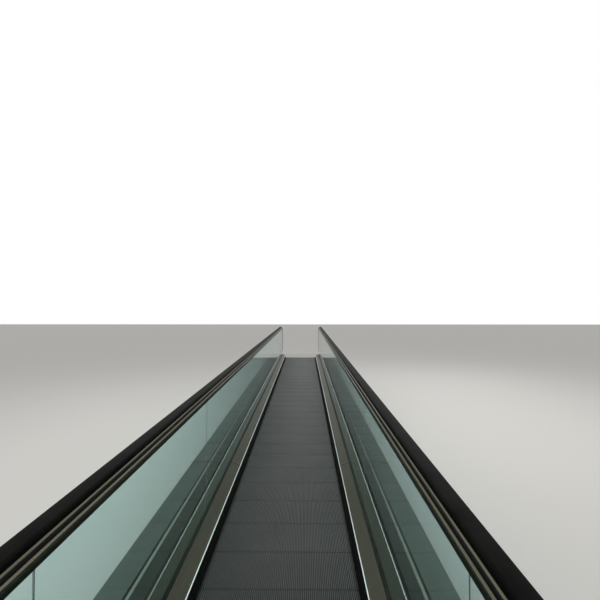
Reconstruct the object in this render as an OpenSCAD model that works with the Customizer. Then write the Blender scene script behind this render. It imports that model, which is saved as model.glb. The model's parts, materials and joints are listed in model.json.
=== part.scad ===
/* [Run] */
// Number of glass bays between the two newel ends
bays = 6; // [3:1:6]
// Length of one glass bay
bay_l = 2200; // [1800:50:2400]
// Chain pitch, three links to a pallet
link = 133.333; // [120:0.001:140]
// Height of the pallet tops above the underside of the feet
deck_h = 1000; // [960:10:1100]

/* [Pallets] */
// Width of a pallet
pallet_w = 1000; // [800:20:1200]
// Thickness of the pallet's tread plate
pallet_t = 24; // [18:1:28]
// Gap between one pallet and the next
pallet_gap = 3; // [2:0.5:6]
// Distance from the tread down to the chain pins
pin_drop = 70; // [66:1:80]
// Number of webs under a pallet
webs = 4; // [2:1:6]
// Radius of a pallet's axle
axle_r = 14; // [10:1:16]
// Radius of a chain roller
roller_r = 38; // [32:1:38]
// Thickness of a chain's side plates
link_t = 8; // [6:1:9]

/* [Balustrade] */
// Gap between the pallets and a skirt
skirt_gap = 4; // [3:0.5:6]
// Height of the skirt strip's top above the pallets
skirt_h = 57; // [50:1:70]
// Distance that a skirt brush reaches out over the pallets
brush_w = 41; // [30:1:50]
// Width of an inner decking sheet, skirt to gasket
inner_w = 92; // [80:1:120]
// Height of the decking at the foot of the glass
deck_z = 95; // [85:1:110]
// Thickness of the glass
glass_t = 10; // [8:1:12]
// Height of the glass edge above the pallets
glass_h = 935; // [880:5:1000]
// Gap between two panes
glass_gap = 4; // [2:0.5:6]
// Width of the outer decking's flat part
outer_flat_w = 193; // [150:1:240]
// Width of the outer decking's sloping part
outer_slope_w = 185; // [150:1:200]
// Fall of the outer decking's sloping part
outer_fall = 14; // [8:1:20]
// Thickness of the decking sheets
sheet_t = 3; // [2:0.5:4]
// Width of a joint cover over the decking
cover_w = 44; // [30:1:60]

/* [Handrail] */
// Width of a handrail
rail_w = 70; // [64:1:80]
// Thickness of a handrail from lip to top
rail_t = 27; // [25:1:32]
// Thickness of a handrail over its track
rail_crown = 14; // [12:1:16]
// Height of the handrail's track above the glass edge
guide_rise = 53; // [48:1:60]
// Distance from the glass face out to the middle of the handrail
rail_off = 58; // [55:1:66]
// Height of the handrail's middle above the decking where it enters its housing
inlet_rise = 66.5; // [60:0.5:80]
// Bend radius of the handrail's way down into the truss
dive_r = 500; // [420:10:560]
// Depth of the handrail's return run below the pallets
return_z = 330; // [310:5:360]
// Length of an inlet housing
housing_l = 560; // [520:10:600]

/* [Truss] */
// Width of a truss chord
chord = 80; // [60:5:100]
// Width of the truss posts
post_w = 60; // [50:5:70]
// Width of the truss diagonals
brace_w = 50; // [40:5:60]
// Wall of the truss tubes
tube_t = 5; // [4:0.5:8]
// Distance from the decking's outer edge in to a chord's inner face
truss_in = 245.5; // [220:0.5:260]
// Height of a foot
foot_h = 60; // [50:5:80]
// Length of a landing beyond the end wheel
landing_l = 1150; // [1100:10:1300]

/* [Hidden] */
$fn = 48;
// Clearance of a piece that is fitted, not fixed
fit = 0.3;
// Small overlap that makes a cut run clear through
eps = 1;

// The end wheels: as many teeth as the height between deck and truss allows, three to a pallet
band_clear = 75;
wheel_room = (deck_h - 2 * pin_drop - foot_h - chord - band_clear) / 2;
teeth = 3 * floor(60 / asin(link / (2 * wheel_room)));

// The chain: straight runs with one pallet more than the glass bays hold, then half a turn on each wheel
pallet_l = 3 * link;
run_links = 3 * (round(bays * bay_l / pallet_l) + 1);
wheel_r = link / (2 * sin(180 / teeth));
wheel_y = run_links * link / 2;
wheel_z = deck_h - pin_drop - wheel_r;
pin_z = deck_h - pin_drop;
turn_links = teeth / 2;
all_links = 2 * run_links + teeth;
step = 360 / teeth;
top_pallets = run_links / 3;
turn_pallets = ceil(turn_links / 3);
return_first = top_pallets + turn_pallets;
return_last = all_links / 3 - turn_pallets - 1;

// Places along the machine, most of them measured from the end wheel's middle
glass_end = bays * bay_l / 2;
deck_over = 180;
newel_over = 250;
comb_before = 60;
comb_over = 70;
beam_over = 260;
plate_over = 320;
deck_end = wheel_y + deck_over;
housing_wall = 2;
housing_y = deck_end - housing_l;
newel_y = wheel_y + newel_over;
comb_y = wheel_y - comb_before;
comb_heel = wheel_y + comb_over;
comb_beam_y = wheel_y + beam_over;
plate_y = wheel_y + plate_over;
frame_end = wheel_y + landing_l;
panel = bay_l / 2;
posts = floor((frame_end - chord) / panel);
post_ys = [for (i = [-posts:posts]) i * panel];
bracket_n = floor((housing_y - post_w) / panel);
cover_ys = [for (i = [-bays / 2 + 0.5:1:bays / 2 - 0.5]) i * bay_l];

// Places across the machine, measured from its middle plane
skirt_t = 4;
skirt_x = pallet_w / 2 + skirt_gap;
skirt_drop = 25;
strip_w = skirt_t + 4;
sheet_play = 0.5;
deck_in = skirt_x + skirt_t + sheet_play;
deck_out = deck_in + inner_w - 4;
gasket_lip = 10;
glass_x = deck_out + sheet_play + gasket_lip;
outer_in = glass_x + glass_t + gasket_lip + sheet_play;
fold_x = outer_in + outer_flat_w;
out_x = fold_x + outer_slope_w;
rail_x = glass_x + rail_off;
truss_x = out_x - truss_in;
truss_out = truss_x + chord;
truss_mid = truss_x + chord / 2;
roller_w = 22;
chain_x = skirt_x + 16;
roller_x = chain_x + link_t;
track_t = 8;
track_x = chain_x - 4;
track_w = roller_w + 28;

// Heights above the feet
z0 = deck_h;
strip_h = 11;
deck_low = skirt_h;
head_z = glass_h + guide_rise;
rail_top = head_z + rail_crown;
rail_mid = rail_top - rail_t / 2;
low_mid = deck_z + inlet_rise;
newel_z = (rail_mid + low_mid) / 2;
floor_z = 8;
plate_t = 30;
comb_t = 12;
frame_t = 38;
chord_top = z0 - 60;
chord_low = foot_h;
beam_top = z0 - 200;
clamp_low = -20;
clamp_top = deck_z - 7;
glass_low = 12;
sheet_lip = 25;
strip_lip = 17;
roller_low = pin_z - roller_r;
return_pin_z = pin_z - 2 * wheel_r;

// Height of the inner decking's upper face at a distance from the middle plane
function inner_z(x) = deck_low + (x - deck_in) * (deck_z - 1 - deck_low) / (deck_out - deck_in);

// A chain pin's place in the side view, counted in links from the near wheel's top
function pin(i) =
    i <= run_links ? [i * link - wheel_y, pin_z]
    : i < run_links + turn_links ? wheel_pin(1, (i - run_links) * step)
    : i < all_links - turn_links ? [wheel_y - (i - run_links - turn_links) * link, return_pin_z]
    : wheel_pin(-1, (all_links - i) * step);
function wheel_pin(end, a) = [end * (wheel_y + wheel_r * sin(a)), wheel_z + wheel_r * cos(a)];

// A profile drawn in X and Z, carried from y0 to y1
module along(y0, y1) {
    translate([0, y1, 0]) rotate([90, 0, 0]) linear_extrude(y1 - y0) children();
}

// A profile drawn in Y and Z, carried from x0 to x1
module across(x0, x1) {
    translate([x0, 0, 0]) rotate([90, 0, 90]) linear_extrude(x1 - x0) children();
}

module both_ends() {
    children();
    mirror([0, 1, 0]) children();
}

module both_sides() {
    children();
    mirror([1, 0, 0]) children();
}

// A square tube's section with its middle at the origin
module tube_section(w, h) {
    difference() {
        square([w, h], center = true);
        square([w - 2 * tube_t, h - 2 * tube_t], center = true);
    }
}

// A rectangle with round corners
module round_rect(w, h, r) {
    translate([r, 0]) square([w - 2 * r, h]);
    translate([0, r]) square([w, h - 2 * r]);
    for (x = [r, w - r], y = [r, h - r]) translate([x, y]) circle(r);
}

// One pallet, its tread up, with its own axle on the origin and the next one's a pallet's length along Y
module pallet() {
    plate_low = pin_drop - pallet_t;
    web_t = 10;
    web_low = -axle_r - 6;
    web_edge = 60;
    web_toe = pallet_l - 80;
    web_head = pallet_l - 30;
    translate([-pallet_w / 2, pallet_gap / 2, plate_low]) cube([pallet_w, pallet_l - pallet_gap, pallet_t]);
    for (i = [0:webs - 1]) {
        x = (i - (webs - 1) / 2) * (pallet_w - 2 * web_edge) / (webs - 1);
        across(x - web_t / 2, x + web_t / 2) polygon([
            [web_t, plate_low + eps], [0, 0], [0, web_low], [web_toe, web_low], [web_head, plate_low + eps]
        ]);
    }
    translate([-chain_x, 0, 0]) rotate([0, 90, 0]) cylinder(r = axle_r, h = 2 * chain_x);
}

// Pallets from one number to another, each with its axle on a chain pin and turned towards the third pin on
module pallet_row(first, last) {
    for (k = [first:last]) {
        a = pin(3 * k);
        b = pin(3 * k + 3 >= all_links ? 3 * k + 3 - all_links : 3 * k + 3);
        angle = atan2(b[1] - a[1], b[0] - a[0]);
        translate([0, a[0], a[1]]) rotate([angle, 0, 0]) pallet();
    }
}

module pallets_upper() {
    color("#4d524d") pallet_row(0, top_pallets - 1);
}

module pallets_return() {
    color("#4d524d") pallet_row(return_first, return_last);
}

module pallets_turning() {
    color("#4d524d") {
        pallet_row(top_pallets, return_first - 1);
        pallet_row(return_last + 1, all_links / 3 - 1);
    }
}

function reversed(list) = [for (i = [len(list) - 1:-1:0]) list[i]];

// The closed line of a chain's side plates: a point off every pin, and one nearer in halfway to the next
pin_points = [for (i = [0:all_links - 1]) pin(i)];
function pin_at(i) = pin_points[(i + all_links) % all_links];
function off_line(at, along, off) = at + off * [-along[1], along[0]] / norm(along);
function link_line(off, waist) = [for (i = [0:all_links - 1]) each [
    off_line(pin_at(i), pin_at(i + 1) - pin_at(i - 1), off),
    off_line((pin_at(i) + pin_at(i + 1)) / 2, pin_at(i + 1) - pin_at(i), waist)
]];

module side_plate() {
    half = 18;
    waist = 13;
    difference() {
        polygon(link_line(half, waist));
        polygon(link_line(-half, -waist));
    }
}

module chain() {
    across(chain_x, roller_x) side_plate();
    across(roller_x + roller_w, roller_x + roller_w + link_t) side_plate();
    for (k = [0:all_links / 3 - 1]) {
        p = pin(3 * k);
        translate([roller_x - eps, p[0], p[1]]) rotate([0, 90, 0])
            cylinder(r = roller_r, h = roller_w + 2 * eps);
    }
}

module chain_right() {
    color("#2b2b2b") chain();
}

module chain_left() {
    color("#2b2b2b") mirror([1, 0, 0]) chain();
}

shaft_r = 45;
shaft_play = 0.05;
bearing_x = truss_x - 8;
hub_r = 90;

// One toothed wheel, its gaps in line with the chain pins
module wheel() {
    tooth_h = 14;
    side_play = 2;
    hub_over = 14;
    rim = 40;
    web_h = wheel_r - roller_r - hub_r;
    across(roller_x + side_play, roller_x + roller_w - side_play) difference() {
        circle(wheel_r + tooth_h, $fn = 96);
        for (i = [0:teeth - 1]) rotate(90 - i * step) translate([wheel_r, 0]) circle(roller_r + fit);
        for (i = [0:5]) rotate(i * 60 + 30) translate([hub_r + web_h / 2, 0]) circle(web_h / 2 - rim);
    }
    across(roller_x - hub_over, roller_x + roller_w + hub_over) circle(hub_r);
}

module end_wheels(end) {
    translate([0, end * wheel_y, wheel_z]) {
        both_sides() mirror([0, end < 0 ? 1 : 0, 0]) wheel();
        across(-bearing_x, bearing_x) circle(shaft_r);
    }
}

drive_x = track_x + track_w + 24;
drive_w = 30;
drive_r = 190;

module wheels_near() {
    color("#55585a") end_wheels(-1);
}

module wheels_far() {
    color("#55585a") {
        end_wheels(1);
        translate([0, wheel_y, wheel_z]) across(drive_x, drive_x + drive_w) circle(drive_r, $fn = 96);
    }
}

module bearings() {
    ring_r = 75;
    block_w = 150;
    block_low = 95;
    block_h = 60;
    block_t = 52;
    color("#3c5568") both_ends() both_sides() translate([0, wheel_y, wheel_z])
        across(bearing_x - block_t, bearing_x) difference() {
            union() {
                circle(ring_r);
                translate([-block_w / 2, -block_low]) square([block_w, block_h]);
            }
            circle(shaft_r + shaft_play);
        }
}

// Section of an angle rail: a flange at the given height, with a leg down to its foot
module track_section(top, foot) {
    translate([track_x, top - track_t]) square([track_w, track_t]);
    translate([track_x + track_w - track_t, foot]) square([track_t, top - foot]);
}

track_short = 200;

// Rails under the rollers of the upper run, ending short of the wheels
module tracks_upper() {
    track_end = wheel_y - track_short;
    color("#6d7073") both_sides() along(-track_end, track_end) track_section(roller_low, beam_top);
}

// Rails under the rollers of the return run, standing on the lower cross members
module tracks_return() {
    color("#6d7073") both_sides() along(-wheel_y, wheel_y)
        track_section(return_pin_z - roller_r, chord_low + chord);
}

module skirt() {
    along(-deck_end, deck_end) translate([skirt_x, z0 - skirt_drop])
        square([skirt_t, skirt_drop + skirt_h - strip_h]);
}

module skirt_right() {
    color("#3a3e3b") skirt();
}

module skirt_left() {
    color("#3a3e3b") mirror([1, 0, 0]) skirt();
}

// The bright strip along the skirt's top edge
module skirt_strip() {
    r = 3;
    along(-deck_end, deck_end) translate([skirt_x - strip_w + skirt_t, z0 + skirt_h - strip_h]) {
        square([strip_w, strip_h - r]);
        translate([r, strip_h - r - eps]) square([strip_w - r, r + eps]);
        translate([r, strip_h - r]) circle(r);
    }
}

module skirt_strip_right() {
    color("#aab0ad") skirt_strip();
}

module skirt_strip_left() {
    color("#aab0ad") mirror([1, 0, 0]) skirt_strip();
}

// The brush: a holder on the skirt and bristles that reach out over the pallets
module brush() {
    low = z0 + 18;
    holder_h = 16;
    holder_w = 7;
    bristle_x = skirt_x - holder_w - 2;
    along(-comb_y, comb_y) polygon([
        [skirt_x, low], [skirt_x, low + holder_h], [skirt_x - holder_w, low + holder_h],
        [bristle_x, low + holder_h - 4], [skirt_x - brush_w, low + 6], [skirt_x - brush_w, low + 2],
        [bristle_x, low + 3], [skirt_x - holder_w, low]
    ]);
}

module brush_right() {
    color("#17191a") brush();
}

module brush_left() {
    color("#17191a") mirror([1, 0, 0]) brush();
}

// Carries a sheet's section along the machine, in stretches that end at the joints
sheet_gap = 2;
stretch_ys = concat([-deck_end], cover_ys, [deck_end]);
module stretches() {
    for (i = [0:len(stretch_ys) - 2])
        along(stretch_ys[i] + (i == 0 ? 0 : sheet_gap / 2),
            stretch_ys[i + 1] - (i == len(stretch_ys) - 2 ? 0 : sheet_gap / 2)) children();
}

// Folded inner decking sheet, rising from the skirt strip to the glass
module inner_deck() {
    t = sheet_t;
    stretches() polygon([
        [deck_in, z0 + deck_low - strip_lip], [deck_in, z0 + deck_low], [deck_out, z0 + inner_z(deck_out)],
        [deck_out, z0 + deck_z - sheet_lip], [deck_out - t, z0 + deck_z - sheet_lip],
        [deck_out - t, z0 + inner_z(deck_out - t) - t], [deck_in + t, z0 + inner_z(deck_in + t) - t],
        [deck_in + t, z0 + deck_low - strip_lip]
    ]);
}

module inner_deck_right() {
    color("#5d5f55") inner_deck();
}

module inner_deck_left() {
    color("#5d5f55") mirror([1, 0, 0]) inner_deck();
}

fascia_low = -20;
function outer_z(x) = x <= fold_x ? deck_z : deck_z - (x - fold_x) * outer_fall / outer_slope_w;

// The opening in the outer decking where a handrail dives through
dive_hole_w = rail_w + 12;
hole_y = housing_y + 12;

// Folded outer decking: flat beside the glass, falling to the edge, then down to the floor
module outer_deck() {
    t = sheet_t;
    difference() {
        stretches() polygon([
            [outer_in, z0 + deck_z - sheet_lip], [outer_in, z0 + deck_z], [fold_x, z0 + deck_z],
            [out_x, z0 + deck_z - outer_fall], [out_x, z0 + fascia_low], [out_x - t, z0 + fascia_low],
            [out_x - t, z0 + outer_z(out_x - t) - t], [fold_x, z0 + deck_z - t], [outer_in + t, z0 + deck_z - t],
            [outer_in + t, z0 + deck_z - sheet_lip]
        ]);
        both_ends() translate([outer_in - eps, hole_y, z0 + deck_z - sheet_lip - eps])
            cube([rail_x + dive_hole_w / 2 - outer_in + eps, deck_end - hole_y + eps, sheet_lip + 2 * eps]);
    }
}

module outer_deck_right() {
    color("#66685f") outer_deck();
}

module outer_deck_left() {
    color("#66685f") mirror([1, 0, 0]) outer_deck();
}

// Thin strips that cover the joints of both deckings
module joint_covers() {
    t = 1.5;
    color("#7b7d74") both_sides() for (y = cover_ys) along(y - cover_w / 2, y + cover_w / 2) {
        polygon([
            [deck_in, z0 + deck_low], [deck_out, z0 + inner_z(deck_out)], [deck_out, z0 + inner_z(deck_out) + t],
            [deck_in, z0 + deck_low + t]
        ]);
        polygon([
            [outer_in, z0 + deck_z], [fold_x, z0 + deck_z], [out_x, z0 + deck_z - outer_fall],
            [out_x, z0], [out_x + t, z0], [out_x + t, z0 + deck_z - outer_fall + t],
            [fold_x, z0 + deck_z + t], [outer_in, z0 + deck_z + t]
        ]);
    }
}

clamp_wall = 6;
pad_t = 3;
clamp_in = glass_x - pad_t - clamp_wall;
clamp_out = glass_x + glass_t + pad_t + clamp_wall;

// The channel that holds the foot of the glass
module clamp() {
    along(-deck_end, deck_end) difference() {
        translate([clamp_in, z0 + clamp_low]) square([clamp_out - clamp_in, clamp_top - clamp_low]);
        translate([clamp_in + clamp_wall, z0 + glass_low - fit])
            square([glass_t + 2 * pad_t, clamp_top - glass_low + eps + fit]);
    }
}

module clamp_right() {
    color("#8c9091") clamp();
}

module clamp_left() {
    color("#8c9091") mirror([1, 0, 0]) clamp();
}

// One rubber strip: a leg between clamp and glass, and a lip that slopes up to the glass
module gasket_half() {
    leg = 44;
    lip_h = 5;
    polygon([
        [fit, z0 + clamp_top - leg], [fit, z0 + deck_z + lip_h], [gasket_lip, z0 + deck_z - 1],
        [gasket_lip, z0 + clamp_top], [pad_t - fit, z0 + clamp_top], [pad_t - fit, z0 + clamp_top - leg]
    ]);
}

module gasket() {
    along(-deck_end, deck_end) {
        translate([glass_x, 0]) mirror([1, 0]) gasket_half();
        translate([glass_x + glass_t, 0]) gasket_half();
    }
}

module gasket_right() {
    color("#20241f") gasket();
}

module gasket_left() {
    color("#20241f") mirror([1, 0, 0]) gasket();
}

glass_r = glass_h - newel_z;

// Outline of the last pane: straight beside the newel, then half round
module newel_pane() {
    y0 = glass_end + glass_gap / 2;
    translate([y0, z0 + glass_low]) square([deck_end - y0, glass_h - glass_low]);
    translate([y0, z0 + newel_z - glass_r]) square([newel_y - y0, 2 * glass_r]);
    translate([newel_y, z0 + newel_z]) circle(glass_r, $fn = 96);
}

module glass() {
    across(glass_x, glass_x + glass_t) {
        for (i = [0:bays - 1]) translate([-glass_end + i * bay_l + glass_gap / 2, z0 + glass_low])
            square([bay_l - glass_gap, glass_h - glass_low]);
        newel_pane();
        mirror([1, 0]) newel_pane();
    }
}

module glass_right() {
    color("#7fb0a5", 0.4) glass();
}

module glass_left() {
    color("#7fb0a5", 0.4) mirror([1, 0, 0]) glass();
}

head_w = rail_w - 22;
head_t = 6;
neck_w = rail_w - 34;
neck_low = head_z - 16;
guide_wall = 4.5;

// Section of the handrail guide: it grips the glass, steps outwards and ends in the track
module guide_section() {
    g = glass_x;
    h = glass_h;
    grip = 3;
    groove_low = h + 22;
    groove_w = 3;
    band_h = neck_low - 1;
    shelf_in = rail_x - rail_w / 2 - 3;
    shelf_out = rail_x + rail_w / 2 - 3;
    shelf_t = 6;
    difference() {
        union() {
            polygon([
                [g - guide_wall, h - grip], [g - guide_wall, groove_low + 4], [g + groove_w, groove_low + 6],
                [g + groove_w, groove_low], [g + 2 * groove_w, groove_low], [g + 2 * groove_w, band_h],
                [shelf_in, neck_low + 11], [shelf_in, neck_low], [shelf_out, neck_low],
                [shelf_out, neck_low - shelf_t], [g + glass_t + guide_wall + 1.5, h + 5],
                [g + glass_t + guide_wall + 1, h - grip]
            ]);
            translate([rail_x - neck_w / 2, neck_low - eps]) square([neck_w, head_z - neck_low]);
            translate([rail_x - head_w / 2, head_z - head_t]) square([head_w, head_t]);
        }
        translate([g - fit, h - grip - eps]) square([glass_t + 2 * fit, grip + eps + fit]);
    }
}

// Points of a quarter circle, from angle a on
function quarter(x, y, r, a) = [for (i = [0:3]) [x + r * cos(a + i * 30), y + r * sin(a + i * 30)]];

// Section of the handrail, its middle at height zero: a round-backed channel that closes under the track's head
rail_lip = 4.5;
rail_wall = 8;
rail_round = 13;
rail_low_round = 9;
rail_x0 = rail_x - rail_w / 2;
rail_x1 = rail_x + rail_w / 2;
rail_half = rail_t / 2;
lip_top = rail_lip - rail_half;
lip_x0 = rail_x - neck_w / 2 - 2;
lip_x1 = rail_x + neck_w / 2 + 2;
slot_top = head_z + fit - rail_mid;
rail_points = concat(
    quarter(rail_x1 - rail_round, rail_half - rail_round, rail_round, 0),
    quarter(rail_x0 + rail_round, rail_half - rail_round, rail_round, 90),
    quarter(rail_x0 + rail_low_round, rail_low_round - rail_half, rail_low_round, 180),
    [
        [lip_x0, -rail_half], [lip_x0, lip_top], [rail_x0 + rail_wall, lip_top], [rail_x0 + rail_wall, slot_top],
        [rail_x1 - rail_wall, slot_top], [rail_x1 - rail_wall, lip_top], [lip_x1, lip_top], [lip_x1, -rail_half]
    ],
    quarter(rail_x1 - rail_low_round, rail_low_round - rail_half, rail_low_round, 270)
);

// Lays a section out for turning round the newel's middle
module newel_turn() {
    translate([0, newel_y, z0 + newel_z]) rotate([90, 0, 90])
        rotate_extrude(angle = 180, start = -90, $fn = 96) mirror([1, -1]) translate([0, -newel_z]) children();
}

guide_joint = 1;

module guide() {
    along(guide_joint - newel_y, newel_y - guide_joint) translate([0, z0]) guide_section();
    both_ends() newel_turn() guide_section();
}

module guide_right() {
    color("#8b8a7a") guide();
}

module guide_left() {
    color("#8b8a7a") mirror([1, 0, 0]) guide();
}

dive_a = 45;
dive_y = deck_end - housing_wall - 38;
dive_l = (low_mid + return_z - 2 * dive_r * (1 - cos(dive_a))) / sin(dive_a);
dive_end = dive_y - 2 * dive_r * sin(dive_a) - dive_l * cos(dive_a);

// Stations of the handrail's way at the far end: Y, height and the way its back faces
turn_n = 16;
dive_n = 5;
far_stations = concat(
    [for (i = [0:turn_n]) let (a = 90 - i * 180 / turn_n)
        [newel_y + (rail_mid - newel_z) * cos(a), newel_z + (rail_mid - newel_z) * sin(a), a]],
    [for (i = [0:dive_n]) let (a = 90 + i * dive_a / dive_n)
        [dive_y + dive_r * cos(a), low_mid - dive_r + dive_r * sin(a), a + 180]],
    [for (i = [0:dive_n]) let (a = -90 + dive_a - i * dive_a / dive_n)
        [dive_end + dive_r * cos(a), dive_r - return_z + dive_r * sin(a), a]]
);
stations = concat(far_stations, [for (s = reversed(far_stations)) [-s[0], s[1], 180 - s[2]]]);

// One closed loop: the section's points at every station, joined from station to station
module handrail() {
    m = len(rail_points);
    n = len(stations);
    points = [for (s = stations, p = rail_points)
        [p[0], s[0] + p[1] * cos(s[2]), z0 + s[1] + p[1] * sin(s[2])]];
    faces = [for (i = [0:n - 1], j = [0:m - 1])
        [i * m + j, i * m + (j + 1) % m, (i + 1) % n * m + (j + 1) % m, (i + 1) % n * m + j]];
    polyhedron(points, faces);
}

module handrail_right() {
    color("#1d1f1d") handrail();
}

module handrail_left() {
    color("#1d1f1d") mirror([1, 0, 0]) handrail();
}

housing_over = 62;
housing_h = low_mid + housing_over;
slope_l = 300;
housing_out = rail_x + rail_w / 2 + 20;
hole_play = 2;

// Side outline of an inlet housing: a slope up from the decking to a rounded front
module housing_outline(in) {
    r = 40 - in;
    top = z0 + housing_h - in;
    low = z0 + deck_z;
    front = deck_end - in;
    polygon([
        [housing_y + 2 * in, low], [housing_y + slope_l + in, top],
        [front - r, top], [front, top - r], [front, low]
    ]);
    translate([front - r, top - r]) circle(r);
}

module inlet_housing() {
    wall = housing_wall;
    hole_x = outer_in + wall;
    difference() {
        across(outer_in, housing_out) housing_outline(0);
        across(hole_x, housing_out - wall) {
            housing_outline(wall);
            translate([housing_y + 2 * wall, z0 + deck_z - eps])
                square([deck_end - housing_y - 3 * wall, 2 * eps]);
        }
        translate([hole_x, deck_end - 2 * wall, z0 + low_mid - rail_t / 2 - hole_play])
            cube([rail_x + rail_w / 2 + hole_play - hole_x, 3 * wall, rail_t + 2 * hole_play]);
    }
}

// End plates that close the deckings off above the landing
module end_plates() {
    t = sheet_t;
    along(deck_end, deck_end + t) {
        polygon([
            [deck_in - sheet_play, z0 + floor_z], [deck_in - sheet_play, z0 + deck_low],
            [clamp_in, z0 + inner_z(deck_out)], [clamp_in, z0 + floor_z]
        ]);
        polygon([
            [clamp_out, z0 + floor_z], [clamp_out, z0 + deck_z], [fold_x, z0 + deck_z],
            [out_x, z0 + deck_z - outer_fall], [out_x, z0 + floor_z]
        ]);
    }
}

module inlet_housings() {
    color("#8a8c83") both_sides() both_ends() {
        inlet_housing();
        end_plates();
    }
}

// Rubber rings round the handrails where they enter the housings
module inlet_caps() {
    wall = 11;
    cap_l = 27;
    cap_r = 14;
    low = z0 + low_mid - rail_t / 2;
    color("#151615") both_sides() both_ends() along(deck_end, deck_end + cap_l) difference() {
        translate([rail_x0 - wall, low - wall]) round_rect(rail_w + 2 * wall, rail_t + 2 * wall, cap_r);
        translate([rail_x0 - fit, low - fit]) round_rect(rail_w + 2 * fit, rail_t + 2 * fit, cap_r - 2);
    }
}

// Plates behind the combs, narrow between the skirts and as wide as the landing behind them
module comb_plates() {
    gap = 2;
    color("#8d8f8c") both_ends() translate([0, 0, z0 + floor_z - comb_t]) linear_extrude(comb_t) {
        translate([-skirt_x + gap, comb_heel]) square([2 * (skirt_x - gap), plate_y - comb_heel]);
        translate([-out_x, deck_end + 5]) square([2 * out_x, plate_y - deck_end - 5]);
    }
}

comb_seg_n = 5;
comb_teeth_n = 18;
comb_half = pallet_w / 2;
comb_seg_w = 2 * comb_half / comb_seg_n;
tooth_pitch = comb_seg_w / comb_teeth_n;
tooth_l = 45;
tooth_tip = 2.2;
tooth_root = 5;

// Plan of one comb segment: a bar with tapering teeth
module comb_plan() {
    length = comb_heel - comb_y;
    polygon(concat(
        [for (i = [0:comb_teeth_n - 1]) each [
            [i * tooth_pitch + (tooth_pitch - tooth_root) / 2, tooth_l],
            [i * tooth_pitch + (tooth_pitch - tooth_tip) / 2, 0],
            [i * tooth_pitch + (tooth_pitch + tooth_tip) / 2, 0],
            [i * tooth_pitch + (tooth_pitch + tooth_root) / 2, tooth_l]
        ]],
        [[comb_seg_w - fit, tooth_l + 6], [comb_seg_w - fit, length], [fit, length], [fit, tooth_l + 6]]
    ));
}

// Comb segments: thin at the teeth, rising to the floor
module comb_segments() {
    length = comb_heel - comb_y;
    top = floor_z - fit;
    tip_h = 2;
    flat_l = 30;
    color("#b3ab6a") both_ends() for (s = [0:comb_seg_n - 1])
        translate([s * comb_seg_w - comb_half, comb_y, z0 + fit]) intersection() {
            linear_extrude(floor_z) comb_plan();
            across(-eps, comb_seg_w + eps) polygon([
                [-eps, 0], [length + eps, 0], [length + eps, top], [length - flat_l, top], [-eps, tip_h]
            ]);
        }
}

module floor_plates() {
    half = (frame_end - plate_y) / 2;
    gap = 3;
    color("#7f827d") both_ends() for (i = [0, 1])
        translate([-out_x, plate_y + gap + i * half, z0 + floor_z - plate_t])
            cube([2 * out_x, half - gap, plate_t]);
}

// Cross bars and edge rails that carry the landing's plates
module landing_frame() {
    bar = 50;
    half = (frame_end - plate_y) / 2;
    low = chord_top;
    top = z0 + floor_z - plate_t;
    beam_h = z0 + floor_z - comb_t - low;
    color("#565a5c") both_ends() {
        translate([-out_x, comb_beam_y, low]) cube([2 * out_x, plate_y - comb_beam_y, beam_h]);
        for (y = [plate_y, plate_y + half - bar / 2, frame_end - bar])
            translate([-out_x, y, low]) cube([2 * out_x, bar, top - low]);
        both_sides() translate([out_x - bar, comb_beam_y, low])
            cube([bar, frame_end - comb_beam_y, top - low]);
    }
}

// One balustrade bracket: a plate that stands on the truss and carries skirt, clamp and deckings
module bracket() {
    t = 8;
    low = z0 - skirt_drop - 1;
    in = deck_in + sheet_t + 1.5;
    lip_in = deck_out - sheet_t - 1;
    lip_out = outer_in + sheet_t + 1;
    edge = out_x - sheet_t - fit;
    knee_h = 30;
    foot_in = track_x + track_w + 6;
    foot_out = truss_out + 10;
    rest = sheet_t + fit;
    hole_r = 26;
    shelf = z0 + deck_low - strip_lip - 2;
    rotate([90, 0, 0]) translate([0, 0, -t / 2]) linear_extrude(t) difference() {
        polygon([
            [skirt_x + skirt_t, low], [skirt_x + skirt_t, shelf], [in, shelf], [in, z0 + inner_z(in) - rest],
            [lip_in, z0 + inner_z(lip_in) - rest], [lip_in, z0 + clamp_low], [lip_out, z0 + clamp_low],
            [lip_out, z0 + deck_z - rest], [fold_x, z0 + deck_z - rest], [edge, z0 + outer_z(edge) - rest],
            [edge, z0 + knee_h], [foot_out, z0 - knee_h], [foot_out, chord_top], [foot_in, chord_top],
            [foot_in, low]
        ]);
        for (x = [fold_x - 4 * hole_r, fold_x]) translate([x, z0 + knee_h]) circle(hole_r);
    }
}

module brackets() {
    color("#6f7274") both_sides() for (i = [-bracket_n:bracket_n]) translate([0, i * panel, 0]) bracket();
}

// Arms with a roller each, which carry the handrails' return runs from the truss posts
module handrail_carriers() {
    carrier_r = 30;
    arm_r = 10;
    n = floor((dive_end - carrier_r) / panel);
    z = z0 - return_z - rail_half - fit - carrier_r;
    color("#4a4d4f") both_sides() for (i = [-n:n]) translate([0, i * panel, z]) rotate([0, 90, 0]) {
        translate([0, 0, rail_x0]) cylinder(r = carrier_r, h = rail_w);
        translate([0, 0, rail_x1 - eps]) cylinder(r = arm_r, h = truss_mid - post_w / 2 - rail_x1 + eps);
    }
}

// A bar of square tube in the plane of a truss side, from one point to another
module brace(a, b) {
    d = b - a;
    length = norm(d);
    angle = atan2(d[1], d[0]);
    translate([truss_mid, a[0], a[1]]) rotate([angle, 0, 0]) rotate([-90, 0, 0]) linear_extrude(length)
        square([brace_w, brace_w], center = true);
}

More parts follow.
